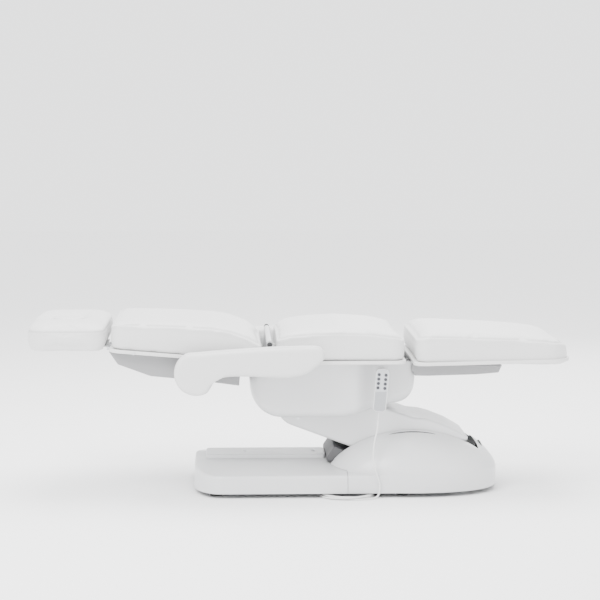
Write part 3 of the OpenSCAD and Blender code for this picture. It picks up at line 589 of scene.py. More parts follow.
def slab(name, outline, y0, y1, edge, bow=0.0, steps=5):
    """Side-plane outline carried along Y: its edges follow a quarter circle of radius edge,
    and its faces bow out by a little at the middle."""
    angle = np.linspace(0, math.pi / 2, steps + 1)
    shrink = edge * (1 - np.sin(angle))
    depth = edge * (1 - np.cos(angle))
    rings = [(y0 + d, s) for d, s in zip(depth, shrink)]
    rings += [(y1 - d, s) for d, s in zip(depth, shrink)][::-1]
    rows = [inset(outline, s) for _, s in rings]
    grid = np.stack([np.column_stack([row[:, 0], np.full(len(row), y), row[:, 1]])
                     for row, (y, _) in zip(rows, rings)])
    if bow:
        middle = grid[:1].mean(1, keepdims=True), grid[-1:].mean(1, keepdims=True)
        low = middle[0] + (grid[:1] - middle[0]) * 0.45 - [0, bow, 0]
        high = middle[1] + (grid[-1:] - middle[1]) * 0.45 + [0, bow, 0]
        grid = np.concatenate([low, grid, high])
    return closed_skin(name, grid)


def done(piece, body, slot, *nodes, smooth=32):
    """Gives a finished piece its body, its finish and the frame nodes it stands for."""
    smooth_sides(piece, smooth)
    piece.data.materials.clear()
    piece.data.materials.append(finish_for(slot))
    if body:
        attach(piece, body)
    if nodes:
        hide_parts(*nodes)
    return piece


# ---------- Pads ----------


def rounded_plan(x0, x1, half, radius, count=40):
    """Rounded rectangle in plan, anticlockwise, with radius (left, right) at its ends' corners."""
    left, right = (radius, radius) if np.isscalar(radius) else radius
    points = np.vstack([
        arc((x1 - right, half - right), right, 0, 90, count // 4),
        arc((x0 + left, half - left), left, 90, 180, count // 4),
        arc((x0 + left, left - half), left, 180, 270, count // 4),
        arc((x1 - right, right - half), right, 270, 360, count // 4)])
    return evenly(points, 0.012)


def pad_skin(name, plan, bottom, shoulder, crown, hole=None, soft=2.6, tuck=0.006):
    """Closed skin of a pad from its plan outline and three height functions of (x, y).

    Going inwards from the outline by a share s, the top is shoulder + crown (1 - (1-s)^soft)^(1/2),
    a superellipse that leaves the side upright and levels out; the side pulls in by tuck at both
    seams; the bottom is flat. With a hole, given as (centre, radius), the skin goes down its wall."""
    centre = plan.mean(0) if hole is None else np.asarray(hole[0])
    if hole is None:
        inner = centre + (plan - centre) * 1e-3
    else:
        direction = (plan - centre) / np.linalg.norm(plan - centre, axis=1)[:, None]
        inner = centre + direction * hole[1]
    rows = []

    def row(share, height, pull=0.0):
        at = plan + (inner - plan) * share
        at = inset(at, pull) if pull else at
        rows.append(np.column_stack([at, height(at[:, 0], at[:, 1])]))

    def top(share, edge_share=1.0):
        full = 1 - abs(1 - share * (1 if hole is None else 2)) ** soft
        return max(full, 0.0) ** 0.5 * edge_share

    for share in (0.999, 0.8, 0.55, 0.3, 0.12, 0.03):
        row(share, bottom)
    row(0.0, bottom, tuck)
    for part in (0.12, 0.3, 0.5, 0.7, 0.88):
        belly = tuck * (1 - math.sin(math.pi * part)) * 0.9
        row(0.0, lambda x, y, p=part: bottom(x, y) + (shoulder(x, y) - bottom(x, y)) * p, belly)
    shares = 1 - np.cos(np.linspace(0, math.pi / 2, 15)) if hole is None else \
        0.5 - 0.5 * np.cos(np.linspace(0, math.pi, 21))
    for share in np.clip(shares, 0.0, 0.999 if hole is None else 1.0):
        row(share, lambda x, y, s=share: shoulder(x, y) + crown(x, y) * top(s))
    if hole is not None:
        for part in (0.8, 0.5, 0.2):
            row(1.0, lambda x, y, p=part: bottom(x, y) + (shoulder(x, y) - bottom(x, y)) * p)
    grid = np.stack(rows)
    return closed_skin(name, grid, wrap_rows=hole is not None)


def blow_up(pad, floor=None, voxel=None, swell=None):
    """Lets the pad's cover swell as cloth under pressure, holds each point within swell of its start,
    keeps the underside on its board, and subdivides once."""
    step = pad.modifiers.new("remesh", "REMESH")
    step.mode, step.voxel_size = "VOXEL", voxel or sizes().pad_voxel
    bake(pad)
    start = coordinates(pad)
    cloth = pad.modifiers.new("cover", "CLOTH")
    cloth.settings.quality, cloth.settings.mass = 4, 0.25
    cloth.settings.tension_stiffness = cloth.settings.compression_stiffness = 18
    cloth.settings.bending_stiffness = 4
    cloth.settings.use_pressure = True
    cloth.settings.uniform_pressure_force = sizes().pad_pressure
    cloth.settings.effector_weights.gravity = 0
    cloth.collision_settings.use_collision = False
    scene = bpy.context.scene
    for number in range(1, 21):
        scene.frame_set(number)
    bake(pad)
    scene.frame_set(1)
    moved = coordinates(pad) - start
    far = np.linalg.norm(moved, axis=1)[:, None] + 1e-9
    limit = sizes().pad_swell if swell is None else swell
    move_points(pad, start + moved * np.minimum(1, limit / far))
    step = pad.modifiers.new("fine", "SUBSURF")
    step.levels = step.render_levels = 1
    bake(pad)
    if floor is not None:
        points = coordinates(pad)
        points[:, 2] = np.maximum(points[:, 2], floor(points[:, 0]))
        move_points(pad, points)
    return pad


def sew(pad, distance, pucker, width=0.0028):
    """Pulls a groove along a seam: depth falls off with the distance from it as a bell curve, and
    small puckers on both sides of it follow a sine of the length along it."""
    points, normals = coordinates(pad), point_normals(pad)
    away = distance(points, normals)
    groove = np.exp(-(away / width) ** 2)
    gather = np.exp(-(away / (width * 4)) ** 2) * np.sin(pucker(points) * 2 * math.pi / 0.017)
    depth = sizes().seam_depth
    move_points(pad, points - normals * (groove * depth + gather * depth * 0.10)[:, None])
    # the groove's share is stored as the seam attribute, which the leather uses for painted shade along
    # the groove
    paint(pad, "seam", groove)


def line(knots):
    """Height along the bed through a few knots, as a function of x."""
    xs, zs = np.array(knots, float).T
    return lambda x: np.interp(x, xs, zs)


def finish_pad(pad, body, *nodes, fill=0.8):
    """Hands a pad over to its body."""
    done(pad, body, "white_leather", *nodes, smooth=80)
    return pad


def top_seam(shoulder, reach):
    """Distance from a pad's upper seam: the height from its shoulder, on the pad's sides only."""
    def distance(points, normals):
        off = np.abs(points[:, 2] - shoulder(points[:, 0], points[:, 1]) - reach)
        return np.where(np.abs(normals[:, 2]) < 0.93, off, 1.0)
    return distance


def around(points):
    """Length along a seam, near enough: the sum of both plan coordinates."""
    return points[:, 0] + points[:, 1]


class BED_OT_headrest(bpy.types.Operator):
    """Makes the headrest pad with its face hole, and the plug that fills the hole"""
    bl_idname = "bed.headrest"
    bl_label = "Headrest"

    def execute(self, context):
        low, high = lo("headrest_cushion"), hi("headrest_cushion")
        plug_low, plug_high = lo("face_plug"), hi("face_plug")
        centre = (plug_low + plug_high)[:2] / 2
        radius = (plug_high - plug_low)[0] / 2
        slim, half = 0.003, (high - low)[1] / 2
        plan = rounded_plan(low[0] + slim, high[0] - slim, half - slim, (0.062, 0.045))
        base = low[2]
        depth = high[2] - base

        def bottom(x, y):
            return base + 0.0006 + 0 * x

        def shoulder(x, y):
            return base + depth * 0.64 + 0 * x

        def crown(x, y):
            return depth * 0.33 + 0 * x

        pad = pad_skin("headrest_pad", plan, bottom, shoulder, crown, (centre, radius + 0.004), 2.2)
        blow_up(pad, lambda x: base + 0.0006 + 0 * x, swell=0.0035)
        sew(pad, top_seam(shoulder, 0.004), around)
        finish_pad(pad, "headrest", "headrest_cushion")

        ring = centre + arc((0, 0), radius - 0.002, 0, 360, 73)[:-1]
        plug_base, plug_depth = plug_low[2], (plug_high - plug_low)[2]
        plug = pad_skin(
            "face_plug_pad", ring, lambda x, y: plug_base + 0 * x,
            lambda x, y: plug_base + plug_depth * 0.84 + 0 * x, lambda x, y: plug_depth * 0.13 + 0 * x,
            soft=2.2, tuck=0.002)
        blow_up(plug, voxel=0.005, swell=0.001)
        sew(plug, lambda p, n: np.abs(p[:, 2] - plug_base - plug_depth * 0.86), around, 0.002)
        finish_pad(plug, "face_plug", "face_plug", fill=0.9)
        return {"FINISHED"}


class BED_OT_back_pad(bpy.types.Operator):
    """Makes the back's pad, which rolls down to the hinge"""
    bl_idname = "bed.back_pad"
    bl_label = "Back pad"

    def execute(self, context):
        low, high = lo("back_cushion"), hi("back_cushion")
        x0, x1, half = low[0], high[0], high[1]

        def under(x):
            """Straight board line that rises towards the head."""
            at_hinge = low[2] + 0.0012
            return at_hinge + (x1 - x) * math.tan(math.radians(BACK_RISE))

        side = line([(x0, 0.604), (x0 + 0.02, 0.606), (-0.44, 0.598), (-0.31, 0.590), (-0.245, 0.579),
                     (-0.18, 0.556), (-0.145, 0.534), (x1, 0.522)])
        crest = line([(x0, 0.010), (-0.5, 0.016), (-0.28, 0.017), (-0.2, 0.014), (x1, 0.010)])
        plan = rounded_plan(x0 + 0.004, x1 - 0.003, half - 0.004, 0.045)
        pad = pad_skin("back_pad", plan, lambda x, y: under(x), lambda x, y: side(x) - 0.003,
                       lambda x, y: crest(x))
        blow_up(pad, under)
        sew(pad, top_seam(lambda x, y: side(x), 0.004), around)
        finish_pad(pad, "back", "back_cushion")
        return {"FINISHED"}


class BED_OT_seat_pad(bpy.types.Operator):
    """Makes the crowned pad of the seat"""
    bl_idname = "bed.seat_pad"
    bl_label = "Seat pad"

    def execute(self, context):
        low, high = lo("seat_cushion"), hi("seat_cushion")
        x0, x1, half, base = low[0], high[0], high[1], low[2] + PAD_LIFT
        middle = (x0 + x1) / 2
        side = line([(x0, 0.545), (x0 + 0.05, 0.561), (x0 + 0.14, 0.568), (middle, 0.570),
                     (x1 - 0.12, 0.566), (x1 - 0.04, 0.556), (x1, 0.545)])
        crest = line([(x0, 0.016), (x0 + 0.1, 0.024), (middle, 0.029), (x1 - 0.1, 0.024), (x1, 0.016)])
        plan = rounded_plan(x0 + 0.004, x1 - 0.004, half - 0.004, 0.045)
        pad = pad_skin("seat_pad", plan, lambda x, y: base + 0 * x, lambda x, y: side(x) - 0.003,
                       lambda x, y: crest(x))
        blow_up(pad, lambda x: base + 0 * x)
        sew(pad, top_seam(lambda x, y: side(x), 0.004), around)
        finish_pad(pad, "seat", "seat_cushion")
        return {"FINISHED"}


class BED_OT_leg_pad(bpy.types.Operator):
    """Makes the long legrest pad, which thins and rounds off at the feet"""
    bl_idname = "bed.leg_pad"
    bl_label = "Legrest pad"

    def execute(self, context):
        low, high = lo("leg_cushion"), hi("leg_cushion")
        x0, x1, half = low[0], high[0], high[1]
        start = hi("leg_board")[2]

        def under(x):
            """Straight board line that falls towards the feet."""
            return start + 0.0012 - (x - x0) * math.tan(math.radians(LEG_FALL))

        side = line([(x0, 0.548), (x0 + 0.05, 0.558), (0.6, 0.553), (0.75, 0.547), (0.85, 0.541),
                     (0.92, 0.532), (x1, 0.520)])
        crest = line([(x0, 0.014), (x0 + 0.08, 0.022), (0.7, 0.019), (0.88, 0.012), (x1, 0.008)])
        plan = rounded_plan(x0 + 0.004, x1 - 0.004, half - 0.004, (0.045, 0.085))
        pad = pad_skin("legrest_pad", plan, lambda x, y: under(x), lambda x, y: side(x) - 0.003,
                       lambda x, y: crest(x))
        blow_up(pad, under)
        sew(pad, top_seam(lambda x, y: side(x), 0.004), around)
        finish_pad(pad, "leg", "leg_cushion")
        return {"FINISHED"}


def armrest_outline(centre, tip):
    """Side outline of an armrest: a drooping round end, a straight bar and a rounded tip."""
    cx, cz = centre
    bulb = arc((cx, cz), 0.078, 112, 300, 16)
    under = [(cx + 0.060, cz - 0.031), (cx + 0.088, cz - 0.015), (cx + 0.150, cz - 0.012),
             (tip - 0.200, cz - 0.016), (tip - 0.130, cz - 0.019), (tip - 0.066, cz - 0.004),
             (tip - 0.034, cz + 0.020)]
    end = arc((tip - 0.034, cz + 0.063), 0.032, -35, 90, 6)
    over = [(tip - 0.090, cz + 0.095), (tip - 0.200, cz + 0.091), (cx + 0.060, cz + 0.079),
            (cx, cz + 0.073)]
    return evenly(fair(np.vstack([bulb, under, end, over]), 2), 0.006)


def board(name, x0, x1, half, top, thick, corners, body, node):
    """Backing board with round corners and edges, under a pad whose underside is the height top(x)."""
    plan = rounded_plan(x0, x1, half, corners)
    edge = 0.0018
    rows = []
    for drop, pull in ((thick, edge), (thick - edge, 0), (edge, 0), (0, edge)):
        at = inset(plan, pull)
        rows.append(np.column_stack([at, top(at[:, 0]) - drop]))
    piece = closed_skin(name, np.stack(rows))
    return done(piece, body, "board", node, smooth=40)


class BED_OT_boards(bpy.types.Operator):
    """Makes the laminated boards that the pads are fixed to"""
    bl_idname = "bed.boards"
    bl_label = "Boards"

    def execute(self, context):
        inside = 0.0035
        rows = (("back", "back_cushion", BACK_RISE, (0.042, 0.042)),
                ("seat", "seat_cushion", 0.0, (0.042, 0.042)),
                ("leg", "leg_cushion", -LEG_FALL, (0.042, 0.082)))
        for body, pad, rake, corners in rows:
            low, high = lo(pad), hi(pad)
            node = body + "_board"
            slope = math.tan(math.radians(rake))
            level = low[2] + 0.0006 if rake >= 0 else hi(node)[2] + 0.0004

            def top(x, start=high[0] if rake > 0 else low[0], z=level, m=slope):
                return z + (start - x) * m

            board(node + "_skin", low[0] + inside, high[0] - inside, high[1] - inside, top,
                  BOARD_THICKNESS, corners, body, node)
        return {"FINISHED"}


class BED_OT_armrests(bpy.types.Operator):
    """Makes both armrest pads"""
    bl_idname = "bed.armrests"
    bl_label = "Armrests"

    def execute(self, context):
        for name in ("right", "left"):
            node = "armrest_" + name
            low, high = lo(node), hi(node)
            outline = armrest_outline(pivot("armrest_flip_" + name), high[0] - 0.001)
            pad = slab(node + "_pad", outline, low[1] + 0.003, high[1] - 0.003, 0.017, bow=0.0010)
            blow_up(pad, voxel=0.0055, swell=0.0022)
            y_seam = low[1] + 0.015, high[1] - 0.015

            def distance(points, normals, seams=y_seam):
                off = np.minimum(np.abs(points[:, 1] - seams[0]), np.abs(points[:, 1] - seams[1]))
                return np.where(np.abs(normals[:, 1]) < 0.9, off, 1.0)

            sew(pad, distance, lambda p: p[:, 0] + p[:, 2], 0.0022)
            finish_pad(pad, node, node, fill=0.85)
        return {"FINISHED"}


# ---------- Moulded covers ----------


def dome_height(share, side, top):
    """Height of the dome at a share of its radius: side + (top - side) (1 - share^1.8)^0.65."""
    return side + (top - side) * np.clip(1 - share ** 1.8, 0, None) ** 0.65


def dome_body(name, centre_x, radius, side, top, foot):
    """Closed dome, fuller across the bed than along it. Its contours are the curves
    (x/R)^2 + (y/R)^(2 broad) = share^2, and its height is dome_height of that share."""
    broad = 1.7
    share = np.sin(np.radians(np.linspace(90, 0, 44)))
    height = dome_height(share, side, top)
    share = np.concatenate([[0.99, 1.0], np.maximum(share, 1e-3)])[:, None]
    height = np.concatenate([[foot, foot + 0.004], height])[:, None]
    turn = np.radians(np.linspace(0, 360, 200, endpoint=False))[None, :]
    sine, cosine = np.sin(turn), np.cos(turn)
    x = centre_x + radius * share * np.sqrt(1 - np.abs(sine) ** (2 * broad)) * np.sign(cosine)
    y = radius * share ** (1 / broad) * sine
    return closed_skin(name, np.stack([x, y, np.broadcast_to(height, x.shape)], -1))


def roof(y, half, side, top, flat):
    """Height of the base plate across the bed: flat inside the ridge, then a straight fall to the
    side."""
    share = np.clip((np.abs(y) - flat) / (half - 0.022 - flat), 0, 1)
    return top + (side - top) * share


def plate_body(name, x0, x1, half, foot, side, top, flat, edge, shrink=0.0):
    """Base plate as rings that step inwards from its plan outline: up the side, which leans out at the
    foot, round its edge by a quarter circle, and over the roof to the centreline."""
    corner = np.array([0.100, 0.185])
    plan = np.vstack([
        [[x1, -half + shrink], [x1, half - shrink]],
        arc((x0 + corner[0], half - corner[1]), corner - shrink, 90, 180, 18),
        arc((x0 + corner[0], corner[1] - half), corner - shrink, 180, 270, 18)])
    plan = evenly(plan, 0.014)
    spine = np.column_stack([np.clip(plan[:, 0], x0 + 0.24, x1 - 0.002), plan[:, 1] * 0.002])
    reach = np.linalg.norm(spine - plan, axis=1)[:, None]
    rows = []

    def row(distance, drop, level=None):
        at = plan + (spine - plan) * np.clip(distance / reach, 0, 1)
        z = roof(at[:, 1], half, side, top, flat) - drop if level is None else np.full(len(at), level)
        rows.append(np.column_stack([at, z - shrink * (level is None)]))

    row(0.0, 0, foot)
    row(0.001, 0, foot + 0.3 * (side - foot))
    row(0.003, 0, foot + 0.75 * (side - foot - edge))
    for angle in np.radians([0, 22, 45, 67, 90]):
        row(0.003 + edge * (1 - math.cos(angle)), edge * (1 - math.sin(angle)))
    for share in (0.2, 0.35, 0.5, 0.62, 0.72, 0.8, 0.9, 1.0):
        at = plan + (spine - plan) * share
        rows.append(np.column_stack([at, roof(at[:, 1], half, side, top, flat) - shrink]))
    return closed_skin(name, np.stack(rows))


class BED_OT_base_covers(bpy.types.Operator):
    """Makes the dome, the base plate, its ridge strip and the sloped shield before the slot"""
    bl_idname = "bed.base_covers"
    bl_label = "Base covers"

    def execute(self, context):
        wall = sizes().cover_wall
        dome_high = hi("dome_cover")
        plate_low, plate_high = lo("base_plate_cover"), hi("base_plate_cover")
        foot, half, seam = plate_low[2], plate_high[1], plate_high[0]
        side, top = PLATE_SIDE, plate_high[2]
        flat = hi("ridge_cover")[1]
        radius = dome_high[1]
        centre = dome_high[0] - radius
        channel = hi("arm_cover")[1] + 0.0035
        slot_end = centre + 0.238
        joint, edge, inner_edge = 0.0008, 0.011, 0.008

        plate = plate_body(
            "base_plate_shell", plate_low[0], seam - joint, half, foot, side, top, flat, edge)
        inner = plate_body(
            "cut", plate_low[0] + wall, seam - wall, half, foot - 0.01, side, top, flat, inner_edge, wall)
        combine(plate, [inner])
        rail, rail_half = 0.230, 0.022
        combine(plate, [
            brick((seam - 0.02, s * rail - rail_half, 0), (seam + 0.01, s * rail + rail_half, 0.054))
            for s in (RIGHT, LEFT)])
        done(plate, "base", "white_cover", "base_plate_cover", smooth=28)

        dome = dome_body("dome_shell", centre, radius, side, dome_high[2], foot)
        fender = plate_body("join", seam - 0.25, centre, half, foot, side, top, flat, edge)
        combine(dome, [fender], "UNION")
        below = foot - 0.02
        hollow = dome_body("cut", centre, radius - wall, side, dome_high[2] - wall, below)
        inner = plate_body(
            "cut", seam - 0.3, centre + 0.005, half, below, side, top, flat, inner_edge, wall)
        cuts = [
            hollow, inner,
            brick((seam - 0.4, -1, 0), (seam + joint, 1, side + 0.003)),
            plate_body(
                "cut", plate_low[0], seam + joint, half, below, side, top, flat, inner_edge, -0.0012),
            brick((seam - 0.2, -channel, 0.01), (slot_end, channel, 0.4)),
            brick((centre - 0.016, radius - 0.02, 0.033), (centre + 0.016, radius + 0.02, 0.067))]
        combine(dome, cuts)
        soften(dome, 0.0012, 2, 50)
        done(dome, "base", "white_cover", "dome_cover", smooth=30)

        low, high = lo("ridge_cover"), hi("ridge_cover")
        plan = rounded_plan(low[0], high[0], high[1], 0.014)
        rows = [np.column_stack([inset(plan, d), np.full(len(plan), z)])
                for d, z in ((0, low[2]), (0, high[2] - 0.005), (0.0015, high[2] - 0.0015),
                             (0.005, high[2]))]
        ridge = closed_skin("ridge_strip", np.stack(rows))
        done(ridge, "base", "white_cover", "ridge_cover", smooth=40)

        low, high = lo("front_shield"), hi("front_shield")
        outline = [(low[0], low[2]), (high[0], low[2]), (high[0], low[2] + 0.008),
                   (low[0] + 0.026, high[2]), (low[0], low[2] + 0.013)]
        shield = slab("sloped_shield", fair(evenly(np.array(outline), 0.006), 2), low[1], high[1], 0.004)
        done(shield, "base", "grey_cover", "front_shield")
        # the shield's grey finish is swapped for a near-black one that is painted shade
        shield.data.materials[0] = shield_painted_shade_finish().material
        return {"FINISHED"}


def arm_outline(up, low, radius):
    """Side outline of the lift arm's cover: two round ends, flat sides, and a crowned nose at the
    low end."""
    lean = math.degrees(math.atan2(up[1] - low[1], low[0] - up[0]))
    rise, fall = lean - 2.2, lean + 2.2
    nose = [(-0.027, 0.111), (0.014, 0.107), (0.052, 0.097), (0.112, 0.073), (0.157, 0.047),
            (0.172, 0.037), (0.166, 0.024), (0.112, 0.020)]
    return np.vstack([
        arc(up, radius, 90 - rise, 270 - fall, 24), arc(low, radius, 262 - fall, 375, 18),
        np.asarray(low) + np.array(nose[::-1])])


class BED_OT_arm_cover(bpy.types.Operator):
    """Makes the lift arm's cover with its rounded edges and open underside"""
    bl_idname = "bed.arm_cover"
    bl_label = "Arm cover"

    def execute(self, context):
        wall, edge = sizes().cover_wall, sizes().cover_edge
        up, low_pivot = pivot("level"), pivot("lift")
        half = hi("arm_cover")[1]
        radius = up[0] - lo("arm_cover")[0]
        outline = evenly(arm_outline(up, low_pivot, radius), 0.006)
        cover = slab("arm_shell", outline, -half, half, edge, steps=6)
        inner = slab("cut", inset(outline, wall), wall - half, half - wall, edge - wall)
        inside = half - wall
        combine(cover, [
            inner,
            brick((up[0] - 0.12, -0.06, up[1] + 0.02), (up[0] + 0.045, 0.06, up[1] + 0.12)),
            brick((low_pivot[0] - 0.158, -inside, 0), (low_pivot[0] + 0.19, inside, low_pivot[1] - 0.01)),
            brick((low_pivot[0] - 0.03, -inside, 0),
                  (low_pivot[0] + 0.165, inside, low_pivot[1] + 0.034))])
        soften(cover, 0.0008, 1, 60)
        done(cover, "lift_arm", "white_cover", "arm_cover", smooth=30)
        return {"FINISHED"}


def tub_body(name, x0, x1, top, depth, half, nose_half, hinge, radius, shrink=0.0, lid=0.0):
    """Seat tub as sections along the bed. Each is a U with round lower corners: its half width follows
    the plan, broad and then narrow by a half cosine, and its floor follows the side outline, a quarter
    circle at the head end, a level stretch, a rise, and a round nose about the legrest's hinge."""
    low, back_r, corner_r, tip_r = top - depth, 0.113, 0.060, 0.020
    rise_run, waist = 0.183, 0.145
    nose = hinge[0] + radius
    first, last = x0 + shrink, nose - shrink
    xs = np.concatenate([
        x0 + back_r - (back_r - shrink) * np.cos(np.linspace(0, math.pi / 2, 16)),
        np.linspace(x0 + back_r, x1, 34)[1:-1],
        hinge[0] - 0.02 + (last - hinge[0] + 0.02) * np.sin(np.linspace(0, math.pi / 2, 14))])
    xs = np.unique(np.round(np.clip(xs, first + 1e-4, last - 1e-4), 5))
    bend = np.clip((x0 + back_r - xs) / (back_r - shrink), 0, 1)
    floor = low + back_r - (back_r - shrink) * np.sqrt(1 - bend ** 2)
    climb = np.clip((xs - (hinge[0] - rise_run)) / rise_run, 0, 1)
    floor = np.where(xs > hinge[0] - rise_run, low + shrink + (hinge[1] - radius - low) * climb, floor)
    round_end = np.clip((xs - hinge[0]) / (radius - shrink), 0, 1)
    floor = np.where(xs > hinge[0], hinge[1] - (radius - shrink) * np.sqrt(1 - round_end ** 2), floor)
    turn = np.clip((x0 + corner_r - xs) / (corner_r - shrink), 0, 1)
    wide = half - corner_r + (corner_r - shrink) * np.sqrt(1 - turn ** 2)
    narrow = np.clip((xs - (hinge[0] - waist)) / 0.085, 0, 1)
    wide = np.where(xs > hinge[0] - waist,
                    half - shrink - (half - nose_half) * (1 - np.cos(math.pi * narrow)) / 2, wide)
    tip = np.clip((xs - (nose - tip_r)) / (tip_r - min(shrink, 0.01)), 0, 1)
    wide = np.where(xs > nose - tip_r, nose_half - tip_r + (tip_r - shrink) * np.sqrt(1 - tip ** 2), wide)
    roundness = 0.034 - shrink
    rings = []
    for x, z, w in zip(xs, floor, wide):
        r = max(0.002, min(roundness, w * 0.6, (top - z) * 0.6))
        bottom = np.vstack([
            arc((w - r, z + r), r, 0, -90, 9), arc((r - w, z + r), r, -90, -180, 9)])
        up = np.linspace(top + lid, z + r, 7)[1:-1]
        ring = np.vstack([
            [[w, top + lid]], np.column_stack([np.full(5, w), up]), bottom,
            np.column_stack([np.full(5, -w), up[::-1]]), [[-w, top + lid]]])
        rings.append(np.column_stack([np.full(len(ring), x), ring[:, 0], ring[:, 1]]))
    return closed_skin(name, np.stack(rings))


class BED_OT_tub(bpy.types.Operator):
    """Makes the seat tub with its openings for the lift arm and the legrest's arms"""
    bl_idname = "bed.tub"
    bl_label = "Seat tub"

    def execute(self, context):
        wall = sizes().cover_wall
        low, high = lo("seat_tub"), hi("seat_tub")
        up, hinge = pivot("level"), pivot("leg_lower")
        radius = high[0] - hinge[0]
        depth, nose_half = high[2] - low[2], 0.182
        shape = (low[0], hinge[0], high[2], depth, high[1], nose_half, hinge, radius)
        arm_reach = up[0] - lo("arm_cover")[0]
        tub = tub_body("tub_shell", *shape)
        inner = tub_body("cut", *shape, shrink=wall, lid=0.02)
        crank_y, arm_half, front = -0.100, 0.154, hinge[0] - 0.003
        combine(tub, [
            inner,
            brick((up[0] - arm_reach - 0.006, -arm_half, 0), (front, arm_half, low[2] + wall + 0.009)),
            brick((up[0] + 0.150, -arm_half, 0), (front, arm_half, hinge[1] - 0.040)),
            brick((low[0] - 0.008, crank_y - 0.03, high[2] - 0.076),
                  (low[0] + 0.022, crank_y + 0.03, 0.6)),
            brick((front, -0.046, 0), (hinge[0] + radius + 0.001, 0.046, 0.6))])
        soften(tub, 0.0008, 1, 60)
        done(tub, "seat", "white_cover", "seat_tub", smooth=30)
        return {"FINISHED"}


def turned_to(points, origin, angle):
    """Side-plane points turned about +Y by an angle in degrees and moved to an origin (x, z)."""
    a = math.radians(angle)
    x, z = np.asarray(points, float).T
    return np.column_stack([origin[0] + x * math.cos(a) + z * math.sin(a),
                            origin[1] - x * math.sin(a) + z * math.cos(a)])


class BED_OT_under_covers(bpy.types.Operator):
    """Makes the matt covers under the back and the legrest"""
    bl_idname = "bed.under_covers"
    bl_label = "Under covers"

    def execute(self, context):
        hinge = pivot("back_recline")
        half = hi("back_cover")[1]
        far = hinge[0] - lo("back_cushion")[0] - 0.0005
        f, e, top = 0.006 - far, -0.092, -0.0736
        outer = [(f, top), (f + 0.034, top - 0.042), (f + 0.150, top - 0.074), (f + 0.350, top - 0.078),
                 (e, top - 0.084), (e, top)]
        inner = [(f + 0.005, top + 0.001), (f + 0.037, top - 0.039), (f + 0.151, top - 0.071),
                 (f + 0.350, top - 0.075), (e + 0.010, top - 0.081), (e + 0.010, top + 0.001)]
        placed = [evenly(turned_to(o, hinge, BACK_RISE), 0.006) for o in (outer, inner)]
        cover = slab("back_shell", fair(placed[0], 1), -half, half, 0.006)
        arm_pivot = pivot("armrest_flip_right")
        sleeve = 0.026
        cuts = [slab("cut", placed[1], 0.003 - half, half - 0.003, 0.002)]
        for side in (RIGHT, LEFT):
            ring = arc(arm_pivot, sleeve, 0, 360, 41)[:-1]
            cuts.append(slab("cut", ring, side * half - 0.01, side * half + 0.01, 0.0005))
            slot = [(f - 0.004, top - 0.026), (f + 0.060, top - 0.026), (f + 0.060, top + 0.003),
                    (f - 0.004, top + 0.003)]
            cuts.append(slab("cut", turned_to(slot, hinge, BACK_RISE), side * 0.070 - 0.016,
                             side * 0.070 + 0.016, 0.0002))
        combine(cover, cuts)
        done(cover, "back", "grey_cover", "back_cover", smooth=30)

        pivot_leg, reach = pivot("leg_lower"), hi("seat_tub")[0] - pivot("leg_lower")[0]
        origin = (lo("leg_cushion")[0], hi("leg_board")[2] - 0.0120)
        length, half = 0.322, 0.200
        outer = [(0.002, -0.0006), (0.002, -0.044), (0.060, -0.044), (0.230, -0.036),
                 (length - 0.012, -0.028), (length, -0.0006)]
        inner = [(-0.001, 0.001), (-0.001, -0.041), (0.060, -0.041), (0.230, -0.033),
                 (length - 0.015, -0.025), (length - 0.004, 0.001)]
        placed = [evenly(turned_to(o, origin, LEG_FALL), 0.005) for o in (outer, inner)]
        cover = slab("legrest_shell", fair(placed[0], 1), -half, half, 0.005)
        ring = arc(pivot_leg, reach + 0.004, 0, 360, 73)[:-1]
        combine(cover, [slab("cut", placed[1], 0.003 - half, half - 0.003, 0.002),
                        slab("cut", ring, -half - 0.01, half + 0.01, 0.0005)])
        done(cover, "leg", "grey_cover", "leg_cover", smooth=30)
        return {"FINISHED"}


# ---------- Small parts ----------


def turned(name, base, axis, profile, sides=40):
    """Closed piece turned about an axis through base: profile holds (radius, height along the axis)."""
    axis = np.asarray(axis, float) / np.linalg.norm(axis)
    across = np.cross(axis, [0.0, 0.0, 1.0] if abs(axis[2]) < 0.9 else [1.0, 0.0, 0.0])
    across /= np.linalg.norm(across)
    third = np.cross(axis, across)
    angle = np.linspace(0, 2 * math.pi, sides, endpoint=False)[:, None]
    circle = np.cos(angle) * across + np.sin(angle) * third
    grid = np.stack([np.asarray(base) + axis * h + circle * max(r, 1e-5) for r, h in profile])
    return closed_skin(name, grid)


def domed(radius, start, height, crown, edge):
    """Profile of a button or head: upright wall, round edge and a low crown whose height falls as the
    square of the radius."""
    bend = np.radians([0, 30, 60, 90])
    rim = [(radius - edge + edge * math.cos(a), height - crown - edge + edge * math.sin(a)) for a in bend]
    top = [((radius - edge) * s, height - crown * s ** 2) for s in (0.8, 0.6, 0.4, 0.2, 0.0)]
    return [(radius, start)] + rim + top


def join(name, parts):
    """One mesh from several closed pieces."""
    points, faces, start = [], [], 0
    for part in parts:
        points.append(coordinates(part))
        faces += [[start + v for v in p.vertices] for p in part.data.polygons]
        start += len(points[-1])
        bpy.data.objects.remove(part)
    return new_piece(name, np.vstack(points), faces)


def screw_head(base, axis, radius, height):
    """Domed head with a cross recess."""
    head = turned("head", base, axis, domed(radius, -0.0004, height, height * 0.35, height * 0.3), 32)
    axis = np.asarray(axis, float)
    across = np.cross(axis, [0.3, 0.9, 0.2])
    across /= np.linalg.norm(across)
    other = np.cross(axis, across)
    cuts = []
    for a, b in ((across, other), (other, across)):
        corners = np.array([[-1, -0.16], [1, -0.16], [1, 0.16], [-1, 0.16]]) * radius * 0.58
        ring = corners[:, :1] * a + corners[:, 1:] * b
        cuts.append(closed_skin("cut", np.stack([ring + base + axis * height * 0.45,
                                                 ring + base + axis * height * 1.5])))
    return combine(head, cuts)


